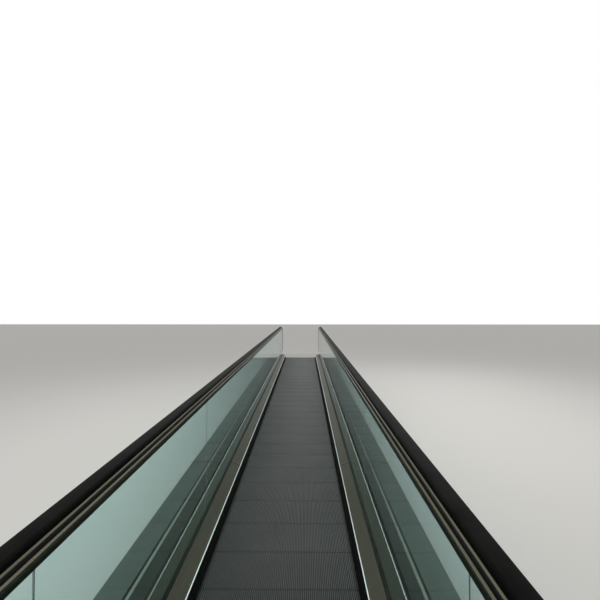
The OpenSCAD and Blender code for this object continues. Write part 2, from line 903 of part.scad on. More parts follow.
// One side of the truss: two chords, posts and diagonals
module truss_side() {
    top = chord_top - chord / 2;
    low = chord_low + chord / 2;
    end_y = frame_end - chord / 2;
    plate_half = 190;
    plate_rise = 130;
    for (z = [top, low])
        along(-frame_end, frame_end) translate([truss_mid, z]) square([chord, chord], center = true);
    for (y = concat(post_ys, [-end_y, end_y]))
        translate([truss_mid, y, (top + low) / 2]) cube([post_w, post_w, top - low], center = true);
    for (i = [-posts:posts - 1]) {
        a = [i * panel, i % 2 == 0 ? low : top];
        b = [(i + 1) * panel, i % 2 == 0 ? top : low];
        brace(a, b);
    }
    both_ends() {
        for (y = [wheel_y - plate_half + post_w / 2, wheel_y + plate_half - post_w / 2])
            translate([truss_mid, y, (top + low) / 2]) cube([post_w, post_w, top - low], center = true);
        translate([bearing_x, wheel_y - plate_half, wheel_z - plate_rise])
            cube([truss_mid - post_w / 2 - bearing_x + eps, 2 * plate_half, 2 * plate_rise]);
    }
}

module truss_right() {
    color("#5f6669") truss_side();
}

module truss_left() {
    color("#5f6669") mirror([1, 0, 0]) truss_side();
}

// Cross beams between the truss sides, under both runs of pallets and at the ends
module cross_members() {
    color("#5f6669") {
        for (y = post_ys) {
            if (abs(y) < wheel_y - wheel_r - chord) translate([0, y, beam_top - post_w / 2]) rotate([90, 0, 90])
                linear_extrude(2 * (truss_mid - post_w / 2), center = true) tube_section(post_w, post_w);
            translate([0, y, chord_low + chord / 2]) rotate([90, 0, 90])
                linear_extrude(2 * truss_x, center = true) tube_section(chord, chord);
        }
        both_ends() for (z = [chord_top - chord / 2, chord_low + chord / 2])
            translate([0, frame_end - chord / 2, z]) rotate([90, 0, 90])
                linear_extrude(2 * truss_x, center = true) tube_section(chord, chord);
    }
}

module drip_pan() {
    t = 3;
    color("#777b7c") translate([-truss_x, -frame_end, chord_low - t]) cube([2 * truss_x, 2 * frame_end, t]);
}

foot_plate = 160;
foot_hole_r = 7;
foot_holes = 120;

// One levelling foot: a floor plate with four holes, a stem and a head plate
module foot() {
    t = 15;
    stem_r = 24;
    head_h = 12;
    difference() {
        translate([-foot_plate / 2, -foot_plate / 2, 0]) cube([foot_plate, foot_plate, t]);
        for (x = [-1, 1], y = [-1, 1]) translate([x * foot_holes / 2, y * foot_holes / 2, -eps])
            cylinder(r = foot_hole_r, h = t + 2 * eps);
    }
    cylinder(r = stem_r, h = foot_h);
    translate([-chord / 2, -chord / 2, foot_h - head_h]) cube([chord, chord, head_h]);
}

foot_ys = [for (i = [1:2:posts]) i * panel];

module feet() {
    color("#484b4d") both_sides() both_ends() for (y = foot_ys) translate([truss_mid, y, 0]) foot();
}

motor_back = 330;
motor_drop = 60;
motor_y = frame_end - motor_back;
motor_z = wheel_z - motor_drop;
gear_x = 190;
gear_l = 260;
motor_l = 300;

// Drive under the far landing: a gearbox on a bed, its motor and the chain to the main shaft
module drive_unit() {
    bed_low = chord_low + chord;
    bed_t = 20;
    bed_in = gear_x - motor_l;
    gear_w = 280;
    gear_top = motor_z + 130;
    motor_r = 110;
    pinion_r = 60;
    pinion_shaft_r = 30;
    chain_t = 12;
    reach = motor_y - wheel_y;
    drop = motor_z - wheel_z;
    gear_out = gear_x + gear_w;
    color("#40586b") {
        translate([bed_in, motor_y - gear_l / 2, bed_low])
            cube([gear_out - bed_in, frame_end - chord / 2 - motor_y + gear_l / 2, bed_t]);
        translate([gear_x, motor_y - gear_l / 2, bed_low + bed_t - eps])
            cube([gear_w, gear_l, gear_top - bed_low - bed_t + eps]);
        translate([gear_x - motor_l, motor_y, motor_z]) rotate([0, 90, 0])
            cylinder(r = motor_r, h = motor_l + eps);
        translate([gear_out - eps, motor_y, motor_z]) rotate([0, 90, 0])
            cylinder(r = pinion_shaft_r, h = drive_x + drive_w - gear_out + eps);
        translate([0, wheel_y, wheel_z]) across(drive_x, drive_x + drive_w) difference() {
            hull() {
                circle(drive_r + chain_t, $fn = 48);
                translate([reach, drop]) circle(pinion_r + chain_t, $fn = 32);
            }
            hull() {
                circle(drive_r + fit, $fn = 48);
                translate([reach, drop]) circle(pinion_r, $fn = 32);
            }
        }
        translate([drive_x, motor_y, motor_z]) rotate([0, 90, 0]) cylinder(r = pinion_r + eps, h = drive_w);
    }
}

pallets_upper();
pallets_return();
pallets_turning();
chain_left();
chain_right();
wheels_near();
wheels_far();
bearings();
tracks_upper();
tracks_return();
skirt_left();
skirt_right();
skirt_strip_left();
skirt_strip_right();
brush_left();
brush_right();
inner_deck_left();
inner_deck_right();
outer_deck_left();
outer_deck_right();
joint_covers();
clamp_left();
clamp_right();
gasket_left();
gasket_right();
glass_left();
glass_right();
guide_left();
guide_right();
handrail_left();
handrail_right();
inlet_housings();
inlet_caps();
comb_plates();
comb_segments();
floor_plates();
landing_frame();
brackets();
handrail_carriers();
truss_left();
truss_right();
cross_members();
drip_pan();
feet();
drive_unit();
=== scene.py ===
"""Moving walkway with glass balustrades: its fine shapes and finishes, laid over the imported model.

Lengths are metres, X across, Y along, Z up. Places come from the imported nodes' own boxes.
"""
import json
import math

import bpy
import numpy as np
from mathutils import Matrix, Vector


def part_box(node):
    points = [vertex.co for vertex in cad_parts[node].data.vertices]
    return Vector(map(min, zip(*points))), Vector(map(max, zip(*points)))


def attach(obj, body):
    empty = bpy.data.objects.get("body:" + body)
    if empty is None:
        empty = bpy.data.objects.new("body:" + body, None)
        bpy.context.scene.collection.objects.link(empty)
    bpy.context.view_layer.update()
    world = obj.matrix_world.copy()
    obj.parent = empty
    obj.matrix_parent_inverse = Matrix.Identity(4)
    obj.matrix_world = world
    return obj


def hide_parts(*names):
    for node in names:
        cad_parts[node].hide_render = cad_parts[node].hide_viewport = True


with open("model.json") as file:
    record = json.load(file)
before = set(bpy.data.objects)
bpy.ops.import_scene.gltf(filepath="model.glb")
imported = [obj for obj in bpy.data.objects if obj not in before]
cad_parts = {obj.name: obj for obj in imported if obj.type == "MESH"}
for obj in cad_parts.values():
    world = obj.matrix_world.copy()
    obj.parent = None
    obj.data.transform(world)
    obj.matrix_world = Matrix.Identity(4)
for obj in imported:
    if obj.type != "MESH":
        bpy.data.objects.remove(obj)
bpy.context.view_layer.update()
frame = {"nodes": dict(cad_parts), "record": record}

MM = 0.001
ORIGIN = (0.0, 0.0, 0.0)


def node_box(node):
    """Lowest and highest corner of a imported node, as two arrays."""
    low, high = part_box(node)
    return np.array(low), np.array(high)


# Deck, balustrades and truss, from the nodes' boxes and a few sizes of the design
DECK = node_box("pallets_upper")[1][2]
SKIRT_LOW, SKIRT_HIGH = node_box("skirt_right")
STRIP_LOW, STRIP_HIGH = node_box("skirt_strip_right")
INNER_LOW, INNER_HIGH = node_box("inner_deck_right")
OUTER_LOW, OUTER_HIGH = node_box("outer_deck_right")
PANE_LOW, PANE_HIGH = node_box("glass_right")
RAIL_LOW, RAIL_HIGH = node_box("handrail_right")
TRUSS_LOW, TRUSS_HIGH = node_box("truss_right")
DECK_END = SKIRT_HIGH[1]
BAY = 2.2
BAYS = 6
GLASS_END = BAYS * BAY / 2
COVER_YS = (np.arange(BAYS) - (BAYS - 1) / 2) * BAY
SHEET_T = 3 * MM
FOLD_X = OUTER_LOW[0] + 0.193
FALL = 14 * MM
OUTER_EDGE_Z = OUTER_HIGH[2] - FALL
NEWEL_Z = DECK + 0.575
NEWEL_R = PANE_HIGH[2] - NEWEL_Z
NEWEL_Y = PANE_HIGH[1] - NEWEL_R
NEWEL_STEPS = 49
HOUSING_Y = DECK_END - 0.56
RAIL_X = (RAIL_LOW[0] + RAIL_HIGH[0]) / 2
RAIL_W = 70 * MM
RAIL_T = 27 * MM
RAIL_MID_R = RAIL_HIGH[2] - RAIL_T / 2 - NEWEL_Z
INLET_Z = NEWEL_Z - RAIL_MID_R

# The band: pallets on a chain of two straight runs and two half turns
LINK = 133.333 * MM
TEETH = 15
PALLET_L = 3 * LINK
PALLET_W = 1.0
PALLET_T = 24 * MM
PALLET_GAP = 3 * MM
PIN_DROP = 70 * MM
RIBS = 90
RIB_PITCH = PALLET_W / RIBS
TOP_PALLETS = 34
WHEEL_R = LINK / (2 * math.sin(math.pi / TEETH))
WHEEL_Y = TOP_PALLETS * PALLET_L / 2
PIN_Z = DECK - PIN_DROP
WHEEL_Z = PIN_Z - WHEEL_R
RUN_LINKS = 3 * TOP_PALLETS
ALL_LINKS = 2 * RUN_LINKS + TEETH
TURN_LINKS = TEETH / 2
TURN_PALLETS = math.ceil(TURN_LINKS / 3)
ALL_PALLETS = ALL_LINKS // 3


# Shapes: a shape is its corners and a list of face arrays


def quads(rows, columns, wrap_rows):
    """Quads between neighbours on a grid whose columns close on themselves, its rows too if asked."""
    i = np.arange(rows if wrap_rows else rows - 1)[:, None]
    j = np.arange(columns)[None]
    i2, j2 = (i + 1) % rows, (j + 1) % columns
    corners = [i * columns + j, i * columns + j2, i2 * columns + j2, i2 * columns + j]
    return np.stack([np.broadcast_to(c, (len(i), columns)) for c in corners], 2).reshape(-1, 4)


def outward(shape):
    """The shape with its faces turned outwards, by the sign of its volume: the sum of a . (b x c) / 6."""
    verts, faces = shape
    total = 0.0
    for f in faces:
        first = verts[f[:, 0]]
        for k in range(1, f.shape[1] - 1):
            total += np.einsum("ij,ij->", first, np.cross(verts[f[:, k]], verts[f[:, k + 1]]))
    return shape if total > 0 else (verts, [f[:, ::-1] for f in faces])


def skin(grid, wrap_rows=False):
    """A closed shape over a grid: quads between neighbours, and a face on each end unless its rows wrap."""
    rows, columns = grid.shape[:2]
    faces = [quads(rows, columns, wrap_rows)]
    if not wrap_rows:
        first = np.arange(columns)[None]
        faces += [first[:, ::-1], first + (rows - 1) * columns]
    return outward((grid.reshape(-1, 3), faces))


def joined(shapes):
    """One shape of several: corners stacked, face numbers raised by the corners that come before."""
    starts = np.cumsum([0] + [len(verts) for verts, _ in shapes[:-1]])
    verts = np.concatenate([verts for verts, _ in shapes])
    return verts, [f + start for (_, faces), start in zip(shapes, starts) for f in faces]


def places(x, y, z):
    """Rows of X, Y and Z; a single number stands for every row."""
    return np.stack(np.broadcast_arrays(x, y, z), 1).astype(float)


def copies(shape, shifts, turns=None):
    """A copy for each row of shifts, turned first by the matching matrix of turns where one is given."""
    verts, faces = shape
    shifts = np.asarray(shifts, float)
    moved = verts[None] if turns is None else np.einsum("kij,nj->kni", turns, verts)
    moved = (moved + shifts[:, None]).reshape(-1, 3)
    steps = np.arange(len(shifts))[:, None, None] * len(verts)
    return moved, [(f[None] + steps).reshape(-1, f.shape[1]) for f in faces]


def mirrored(shape, axis=0):
    """The shape on the other side of the plane across an axis, its faces outwards again."""
    sign = np.ones(3)
    sign[axis] = -1
    return shape[0] * sign, [f[:, ::-1] for f in shape[1]]


def both(shape, axis=0):
    """The shape and its mirror image as one."""
    return joined([shape, mirrored(shape, axis)])


def corners_of(shape):
    """The shape on all four corners: right and left, far and near."""
    return both(both(shape), 1)


def about_x(angles):
    """Matrices that turn Y towards Z by each angle."""
    c, s, o = np.cos(angles), np.sin(angles), np.zeros(len(angles))
    return np.stack([o + 1, o, o, o, c, -s, o, s, c], 1).reshape(-1, 3, 3)


def unit(vectors):
    """Vectors cut to length one."""
    return vectors / np.linalg.norm(vectors, axis=-1, keepdims=True)


def circle(start, end, count, r=1.0):
    """Points on an arc of radius r about the origin, angles in degrees: (r cos a, r sin a)."""
    a = np.radians(np.linspace(start, end, count))
    return np.stack([np.cos(a), np.sin(a)], 1) * r


def rectangle(x0, y0, x1, y1):
    """Four corners in turn."""
    return [[x0, y0], [x1, y0], [x1, y1], [x0, y1]]


def rounded(points, radius, steps, hold=0.0):
    """A closed outline with each corner on an arc: centre on the bisector at radius / sin(half the angle).

    A hold adds a point before and after each arc, that far along the straights, to keep them flat.
    """
    p = np.asarray(points, float)
    radius = np.broadcast_to(np.asarray(radius, float), len(p))
    back, ahead = np.roll(p, 1, 0) - p, np.roll(p, -1, 0) - p
    shortest = np.minimum(np.linalg.norm(back, axis=1), np.linalg.norm(ahead, axis=1))
    a, b = unit(back), unit(ahead)
    half = np.arccos(np.clip((a * b).sum(1), -1, 1)) / 2
    reach = np.minimum(radius / np.tan(half), 0.46 * shortest)
    r = reach * np.tan(half)
    centre = p + unit(a + b) * (r / np.sin(half))[:, None]
    start, end = p + a * reach[:, None], p + b * reach[:, None]
    a0 = np.arctan2(*(start - centre).T[::-1])
    turn = (np.arctan2(*(end - centre).T[::-1]) - a0 + np.pi) % (2 * np.pi) - np.pi
    angle = a0[:, None] + turn[:, None] * np.linspace(0, 1, steps)[None]
    arcs = centre[:, None] + r[:, None, None] * np.stack([np.cos(angle), np.sin(angle)], 2)
    if hold:
        away = np.minimum(hold, 0.03 * shortest)[:, None]
        arcs = np.concatenate([(start + a * away)[:, None], arcs, (end + b * away)[:, None]], 1)
    return arcs.reshape(-1, 2)


def inset(outline, depth):
    """Each corner moved in by depth from both its edges: p + depth (n1 + n2) / (1 + n1 . n2)."""
    ahead = unit(np.roll(outline, -1, 0) - outline)
    x, y = outline.T
    sign = np.sign((x * np.roll(y, -1) - y * np.roll(x, -1)).sum())
    normal = sign * np.stack([-ahead[:, 1], ahead[:, 0]], 1)
    before = np.roll(normal, 1, 0)
    return outline + depth * (normal + before) / (1 + (normal * before).sum(1, keepdims=True))


def laid(outline, height, axis):
    """An outline laid across an axis at a height: (y, z) across X, (x, z) across Y, (x, y) across Z."""
    return np.insert(outline, axis, height, axis=1)


def slab(outline, low, high, axis, edge=0.0, steps=2):
    """A plate of an outline from low to high, its edges eased on quarter rounds of radius edge."""
    t = np.linspace(0, np.pi / 2, steps) if edge else np.array([0.0])
    rise, drawn = edge * (1 - np.cos(t)), edge * (1 - np.sin(t))
    heights = np.concatenate([low + rise, (high - rise)[::-1]])
    depths = np.concatenate([drawn, drawn[::-1]]) if edge else np.zeros(2)
    loops = [laid(inset(outline, d) if d else outline, h, axis) for h, d in zip(heights, depths)]
    return skin(np.stack(loops))


def block(low, high, edge=1 * MM, axis=2, corner=None):
    """A box with eased edges and the corners along its axis rounded by corner."""
    ends = rectangle(*np.delete(low, axis), *np.delete(high, axis))
    return slab(rounded(ends, edge if corner is None else corner, 3), low[axis], high[axis], axis, edge)


def swept(section, origins, ups, closed=False):
    """Corner (i, j) = origin i + (section j's x) X + (section j's y) up i, with quads between neighbours."""
    section, origins, ups = (np.asarray(a, float) for a in (section, origins, ups))
    across = section[None, :, :1] * np.array([1.0, 0, 0])
    return skin(origins[:, None] + across + section[None, :, 1:] * ups[:, None], closed)


def along(section, y0, y1):
    """A section in X and Z carried straight from y0 to y1."""
    return swept(section, [[0, y0, 0], [0, y1, 0]], [[0, 0, 1], [0, 0, 1]])


def lathe(profile, centre=ORIGIN, axis=0, segments=24, ring=False):
    """A profile of (distance along, radius) turned round an axis; a ring's profile closes on itself."""
    profile = np.asarray(profile, float)
    angle = np.arange(segments) * 2 * np.pi / segments
    u, v = [k for k in range(3) if k != axis]
    grid = np.zeros((len(profile), segments, 3))
    grid[..., axis] = profile[:, :1]
    grid[..., u] = profile[:, 1:] * np.cos(angle)
    grid[..., v] = profile[:, 1:] * np.sin(angle)
    verts, faces = skin(grid, ring)
    return verts + np.asarray(centre, float), faces


def hex_bolt(r, h, axis, toward=1):
    """A bolt head with a washer: six sides, its top edge drawn in by a fifth of its height."""
    washer = lathe([[0, 1.5 * r], [0.2 * h, 1.5 * r]], axis=axis, segments=16)
    head = lathe([[0.2 * h, r], [h, r], [1.2 * h, 0.82 * r]], axis=axis, segments=6)
    shape = joined([washer, head])
    return shape if toward > 0 else mirrored(shape, axis)


def countersunk(top, r, socket_r, deep, segments=18):
    """A screw or plug flush with a top face: its rim, and a socket half as wide that narrows downwards."""
    rim = top + 0.1 * MM
    profile = [[top - 1 * MM, r], [rim, r], [rim, r / 2], [top - deep, socket_r]]
    return lathe(profile, axis=2, segments=segments)


def stations(y_list, z, up=1.0):
    """Straight stations at one height."""
    y = np.asarray(y_list, float)
    return places(0, y, z), places(0, 0 * y, up)


def arc_stations(y, z, radius, start, end, count, flip=1.0):
    """Stations on an arc about (y, z), angles in degrees from +Y, their backs facing out times flip."""
    out = laid(circle(start, end, count), 0, 0)
    return np.array([0, y, z]) + radius * out, flip * out


def chained(*parts):
    """Stations of several stretches in one row."""
    return tuple(np.concatenate([part[k] for part in parts]) for k in (0, 1))


# Materials: small helpers, effects as node groups, then one function for each kind of finish


def linear(*rgb):
    """A colour given as screen values from 0 to 255, as linear light."""
    c = np.array(rgb) / 255
    value = np.where(c <= 0.04045, c / 12.92, ((c + 0.055) / 1.055) ** 2.4)
    return (*[float(v) for v in value], 1.0)


def add(tree, kind, inputs, **settings):
    """A shader node with its settings and inputs; an input that is a socket is linked."""
    made = tree.nodes.new(kind)
    for key, value in settings.items():
        setattr(made, key, value)
    for key, value in dict(inputs).items():
        plug(tree, made.inputs[key], value)
    return made


def plug(tree, socket, value):
    """A socket's value, or its link where the value is another node's socket."""
    if isinstance(value, bpy.types.NodeSocket):
        tree.links.new(value, socket)
    else:
        socket.default_value = value


def maths(tree, operation, *values, **settings):
    """The result of a Math node."""
    return add(tree, "ShaderNodeMath", enumerate(values), operation=operation, **settings).outputs[0]


def mixed(tree, factor, a, b, **settings):
    """A colour between a and b."""
    return add(tree, "ShaderNodeMix", {0: factor, 6: a, 7: b}, data_type="RGBA", **settings).outputs[2]


def between(tree, factor, low, high, from_low=0.0, from_high=1.0):
    """A number from low to high as the factor goes over its own range."""
    return add(tree, "ShaderNodeMapRange", enumerate((factor, from_low, from_high, low, high))).outputs[0]


def spot(tree):
    """Object coordinates, which are the walkway's own."""
    return tree.nodes.new("ShaderNodeTexCoord").outputs["Object"]


def part_of(tree, vector, axis):
    """One coordinate of a vector."""
    return add(tree, "ShaderNodeSeparateXYZ", {0: vector}).outputs[axis]


def noise(tree, scale, detail=3.0, roughness=0.5, stretch=(1.0, 1.0, 1.0)):
    """Noise from 0 to 1 on Object coordinates, of a scale, drawn out by a factor for each axis."""
    where = add(tree, "ShaderNodeVectorMath", {0: spot(tree), 1: stretch}, operation="MULTIPLY").outputs[0]
    values = {"Vector": where, "Scale": scale, "Detail": detail, "Roughness": roughness}
    return add(tree, "ShaderNodeTexNoise", values).outputs["Fac"]


def group(name, inputs, outputs):
    """An empty node group with its sockets: (name, kind, value) in, names of numbers out."""
    tree = bpy.data.node_groups.new(name, "ShaderNodeTree")
    for label, kind, value in inputs:
        socket = tree.interface.new_socket(label, in_out="INPUT", socket_type="NodeSocket" + kind)
        socket.default_value = value
    for label in outputs:
        tree.interface.new_socket(label, in_out="OUTPUT", socket_type="NodeSocketFloat")
    return tree, tree.nodes.new("NodeGroupInput").outputs, tree.nodes.new("NodeGroupOutput").inputs


def grain_group():
    """Brushed grain: noise drawn out along one axis, as a shade and as a height."""
    tree, given, gives = group("brushed_grain", [("Stretch", "Vector", (900.0, 12.0, 900.0)),
                                                 ("Contrast", "Float", 0.5)], ["Shade", "Height"])
    fine = noise(tree, 1.0, 2.0, stretch=given["Stretch"])
    broad = noise(tree, 1.0, stretch=(7.0, 0.6, 7.0))
    centred = maths(tree, "SUBTRACT", maths(tree, "ADD", fine, broad), 1.0)
    tree.links.new(maths(tree, "MULTIPLY_ADD", centred, given["Contrast"], 0.5), gives["Shade"])
    tree.links.new(fine, gives["Height"])
    return tree


def dust_group():
    """Dust and scuffs: broad patches broken up by fine specks, more on faces that look up."""
    tree, given, gives = group("dust_and_scuffs", [("Patch", "Float", 3.0), ("Speck", "Float", 120.0),
                                                   ("Amount", "Float", 0.5)], ["Mask"])
    patch = between(tree, noise(tree, given["Patch"], 4.0, 0.6), 0.0, 1.0, 0.4, 0.7)
    spots = maths(tree, "MULTIPLY", patch, noise(tree, given["Speck"], 2.0))
    normal = part_of(tree, tree.nodes.new("ShaderNodeNewGeometry").outputs["Normal"], 2)
    mask = maths(tree, "MULTIPLY", spots, between(tree, normal, 0.35, 1.0, -0.2, 0.9))
    tree.links.new(maths(tree, "MULTIPLY", mask, given["Amount"], use_clamp=True), gives["Mask"])
    return tree


def mottle_group():
    """Slow drift of shade over metres with a cast or rolled surface's fine pitting."""
    tree, given, gives = group("mottle", [("Broad", "Float", 1.4), ("Fine", "Float", 260.0)],
                               ["Drift", "Pits"])
    tree.links.new(noise(tree, given["Broad"], 3.0, 0.55), gives["Drift"])
    tree.links.new(noise(tree, given["Fine"], 3.0, 0.6), gives["Pits"])
    return tree


GRAIN, DUST, MOTTLE = grain_group(), dust_group(), mottle_group()


def effect(tree, made, **values):
    """One of the shared groups, with its own values."""
    placed = tree.nodes.new("ShaderNodeGroup")
    placed.node_tree = made
    for key, value in values.items():
        placed.inputs[key].default_value = value
    return placed.outputs


def finish(name, wire, **constants):
    """A material: wire(tree) returns colour, roughness and (height, strength, distance) for the shader."""
    made = bpy.data.materials.new(name)
    made.use_nodes = True
    tree = made.node_tree
    shader = tree.nodes["Principled BSDF"]
    for key, value in constants.items():
        shader.inputs[key.replace("_", " ").title().replace("Ior", "IOR")].default_value = value
    colour, roughness, bump = wire(tree)
    plug(tree, shader.inputs["Base Color"], colour)
    plug(tree, shader.inputs["Roughness"], roughness)
    if bump:
        raised = add(tree, "ShaderNodeBump", dict(zip(("Height", "Strength", "Distance"), bump)))
        tree.links.new(raised.outputs[0], shader.inputs["Normal"])
    return made


def fold_painted_light(tree):
    """Painted light on each strip of the outer decking, by its distance from the middle, with sharp starts.
    """
    ramp = add(tree, "ShaderNodeValToRGB", {0: maths(tree, "ABSOLUTE", part_of(tree, spot(tree), 0))})
    ramp.color_ramp.interpolation = "CONSTANT"
    stops = ramp.color_ramp.elements
    while len(stops) < len(FOLD_PAINTED_LIGHT):
        stops.new(1.0)
    for stop, (start, shade) in zip(stops, FOLD_PAINTED_LIGHT):
        stop.position, stop.color = start, (*shade, 1.0)
    return ramp.outputs[0]


def metal(name, dark, light, rough, stretch=None, dust=0.4, dusty=(150, 146, 136), tones=None, **constants):
    """A metal finish between two shades, grained along stretch or mottled, with a film of dust."""

    def wire(tree):
        out = effect(tree, GRAIN, Stretch=stretch, Contrast=0.8) if stretch else effect(tree, MOTTLE)
        film = effect(tree, DUST, Amount=dust)["Mask"]
        colour = mixed(tree, film, mixed(tree, out[0], linear(*dark), linear(*light)), linear(*dusty))
        # Painted light multiplied into the colour where a finish has it: the outer decking's fold strips
        if tones:
            colour = mixed(tree, 1.0, colour, tones(tree), blend_type="MULTIPLY")
        return colour, between(tree, film, *rough), (out[1], 0.15, 0.2 * MM)

    return finish(name, wire, **{"metallic": 0.9, **constants})


def paint(name, dark, light, rough=(0.35, 0.6), dust=0.5, **constants):
    """Painted steel: slow drift between two shades, orange peel, dust on what faces up."""

    def wire(tree):
        out = effect(tree, MOTTLE, Fine=180.0)
        film = effect(tree, DUST, Amount=dust)["Mask"]
        shade = mixed(tree, out["Drift"], linear(*dark), linear(*light))
        colour = mixed(tree, film, shade, linear(128, 124, 114))
        return colour, between(tree, film, *rough), (out["Pits"], 0.12, 0.15 * MM)

    return finish(name, wire, **constants)


def rubber(name, dark, light, rough, shine, dust):
    """Black rubber: fine moulded skin, paler where it has chalked, smoother where it is rubbed."""

    def wire(tree):
        out = effect(tree, MOTTLE, Broad=5.0, Fine=900.0)
        streak = noise(tree, 1.0, 4.0, stretch=(60.0, 1.5, 60.0))
        film = effect(tree, DUST, Patch=6.0, Speck=300.0, Amount=dust)["Mask"]
        shade = mixed(tree, maths(tree, "MULTIPLY", out["Drift"], streak), linear(*dark), linear(*light))
        colour = mixed(tree, film, shade, linear(84, 82, 76))
        return colour, between(tree, streak, *rough), (out["Pits"], 0.1, 0.1 * MM)

    return finish(name, wire, specular_ior_level=shine)


def pallet_metal():
    """Cast pallet aluminium: dull grey tops rubbed a little brighter, going dark with depth below the tops.
    """

    def wire(tree):
        out = effect(tree, MOTTLE, Broad=0.8, Fine=420.0)
        # Darker with depth: from half a millimetre below the tops to dark at the grooves' bottom and
        # everything below
        depth = between(tree, part_of(tree, spot(tree), 2), 0.0, 1.0, DECK - 7 * MM, DECK - 0.5 * MM)
        streak = noise(tree, 1.0, 3.0, 0.6, (45.0, 0.35, 1.0))
        drift = maths(tree, "MULTIPLY", out["Drift"], streak)
        tops = mixed(tree, drift, linear(60, 62, 61), linear(108, 110, 108))
        film = effect(tree, DUST, Patch=2.0, Speck=90.0, Amount=0.35)["Mask"]
        dusty = mixed(tree, film, tops, linear(110, 108, 100))
        colour = mixed(tree, depth, linear(22, 24, 23), dusty)
        return colour, between(tree, drift, 0.42, 0.6), (out["Pits"], 0.2, 0.2 * MM)

    return finish("pallets", wire, metallic=0.75)


def clear_glass():
    """Toughened glass: clear, green through its depth, and bright to the light that passes it."""

    def wire(tree):
        smear = noise(tree, 1.0, 5.0, 0.6, (2.2, 2.2, 6.0))
        colour = mixed(tree, smear, linear(219, 248, 246), linear(227, 252, 249))
        return colour, between(tree, smear, 0.0, 0.02), None

    made = finish("glass", wire, transmission_weight=1.0, ior=1.5)
    tree = made.node_tree
    output = tree.nodes["Material Output"]
    clear = add(tree, "ShaderNodeBsdfTransparent", {"Color": linear(216, 238, 235)})
    shadow = tree.nodes.new("ShaderNodeLightPath").outputs["Is Shadow Ray"]
    glass = tree.nodes["Principled BSDF"].outputs[0]
    both_ways = add(tree, "ShaderNodeMixShader", {0: shadow, 1: glass, 2: clear.outputs[0]})
    tree.links.new(both_ways.outputs[0], output.inputs["Surface"])
    depth = add(tree, "ShaderNodeVolumeAbsorption", {"Color": linear(120, 215, 205), "Density": 6.0})
    tree.links.new(depth.outputs[0], output.inputs["Volume"])
    return made


def bristles():
    """Black nylon bristles: a soft sheen and grey tips."""

    def wire(tree):
        shade = noise(tree, 1.0, 2.0, stretch=(300.0, 300.0, 300.0))
        return mixed(tree, shade, linear(5, 6, 6), linear(20, 21, 20)), 0.6, None

    return finish("brushes", wire, specular_ior_level=0.02)


# The outer decking's strips from the middle outwards: flat, hem, groove, falling sheet
HEM_IN, HEM_OUT, GROOVE_OUT = FOLD_X - 18 * MM, FOLD_X + 3 * MM, FOLD_X + 17 * MM
# Their painted light: a darker flat, a painted highlight on the hem, painted shade in the groove, a painted
# reflection on the fall
FOLD_PAINTED_LIGHT = [(0.0, (0.1, 0.105, 0.115)), (HEM_IN, (0.84, 0.9, 1.0)), (HEM_OUT, (0.01, 0.01, 0.01)),
             (GROOVE_OUT, (0.3, 0.33, 0.4))]

# Finishes: two shades, the range of roughness, and what else sets each one apart
LONG = {"stretch": (900.0, 10.0, 900.0)}
DULL = {**LONG, "metallic": 0.6, "specular_ior_level": 0.15, "specular_tint": (0.5, 0.5, 0.47, 1.0)}
DULLER = {**DULL, "metallic": 0.45, "specular_ior_level": 0.06, "dust": 0.3}
METALS = {
    "chain": [(38, 36, 33), (74, 70, 64), (0.3, 0.55), {"dust": 0.3}],
    "wheels": [(84, 86, 88), (128, 130, 132), (0.3, 0.5), {"dust": 0.3}],
    "galvanised": [(122, 126, 128), (172, 176, 178), (0.4, 0.6), {}],
    "bright_strip": [(176, 181, 177), (214, 218, 214), (0.2, 0.36), {**LONG, "dust": 0.15}],
    "decking": [(50, 52, 45), (74, 74, 62), (0.34, 0.52), {**DULLER, "dusty": (80, 79, 69)}],
    # Outer decking: base and dust lifted, for the painted light of its fold strips to be multiplied in
    "outer_decking_painted_light": [(124, 129, 114), (176, 176, 151), (0.34, 0.52),
                      {**DULLER, "dusty": (187, 186, 166), "tones": fold_painted_light}],
    "clamps": [(120, 124, 124), (158, 162, 162), (0.35, 0.5), LONG],
    "guides": [(72, 73, 62), (102, 101, 85), (0.26, 0.42), {**DULL, "dust": 0.2, "dusty": (104, 102, 88)}],
    # Dark finish of the thin sheet on the guides' grip face: painted shade
    "guide_grip_painted_shade": [(34, 39, 36), (54, 60, 55), (0.3, 0.45), {**DULL, "dust": 0.2, "dusty": (70, 72, 64)}],
    "landing": [(112, 114, 112), (148, 150, 147), (0.35, 0.55), LONG],
}
PAINTS = {
    "drive_paint": [(38, 72, 104), (52, 88, 120), (0.35, 0.6), {"coat_weight": 0.2}],
    "skirts": [(16, 18, 17), (26, 28, 27), (0.3, 0.5), {"dust": 0.15}],
    "combs": [(150, 140, 66), (176, 164, 88), (0.4, 0.6), {"dust": 0.4}],
    "black_steel": [(34, 36, 38), (52, 54, 56), (0.35, 0.6), {}],
    "truss_paint": [(92, 98, 101), (116, 122, 124), (0.35, 0.6), {}],
}
RUBBERS = {
    "black_rubber": [(16, 18, 17), (34, 36, 33), (0.5, 0.7), {"shine": 0.1, "dust": 0.25}],
    "handrail": [(8, 9, 8), (25, 26, 24), (0.36, 0.5), {"shine": 0.006, "dust": 0.12}],
}
FINISH = {"pallets": pallet_metal(), "brushes": bristles(), "glass": clear_glass()}
for kind, rows in ((metal, METALS), (paint, PAINTS), (rubber, RUBBERS)):
    for finish_name, (dark, light, rough, more) in rows.items():
        FINISH[finish_name] = kind(finish_name, dark, light, rough, **more)


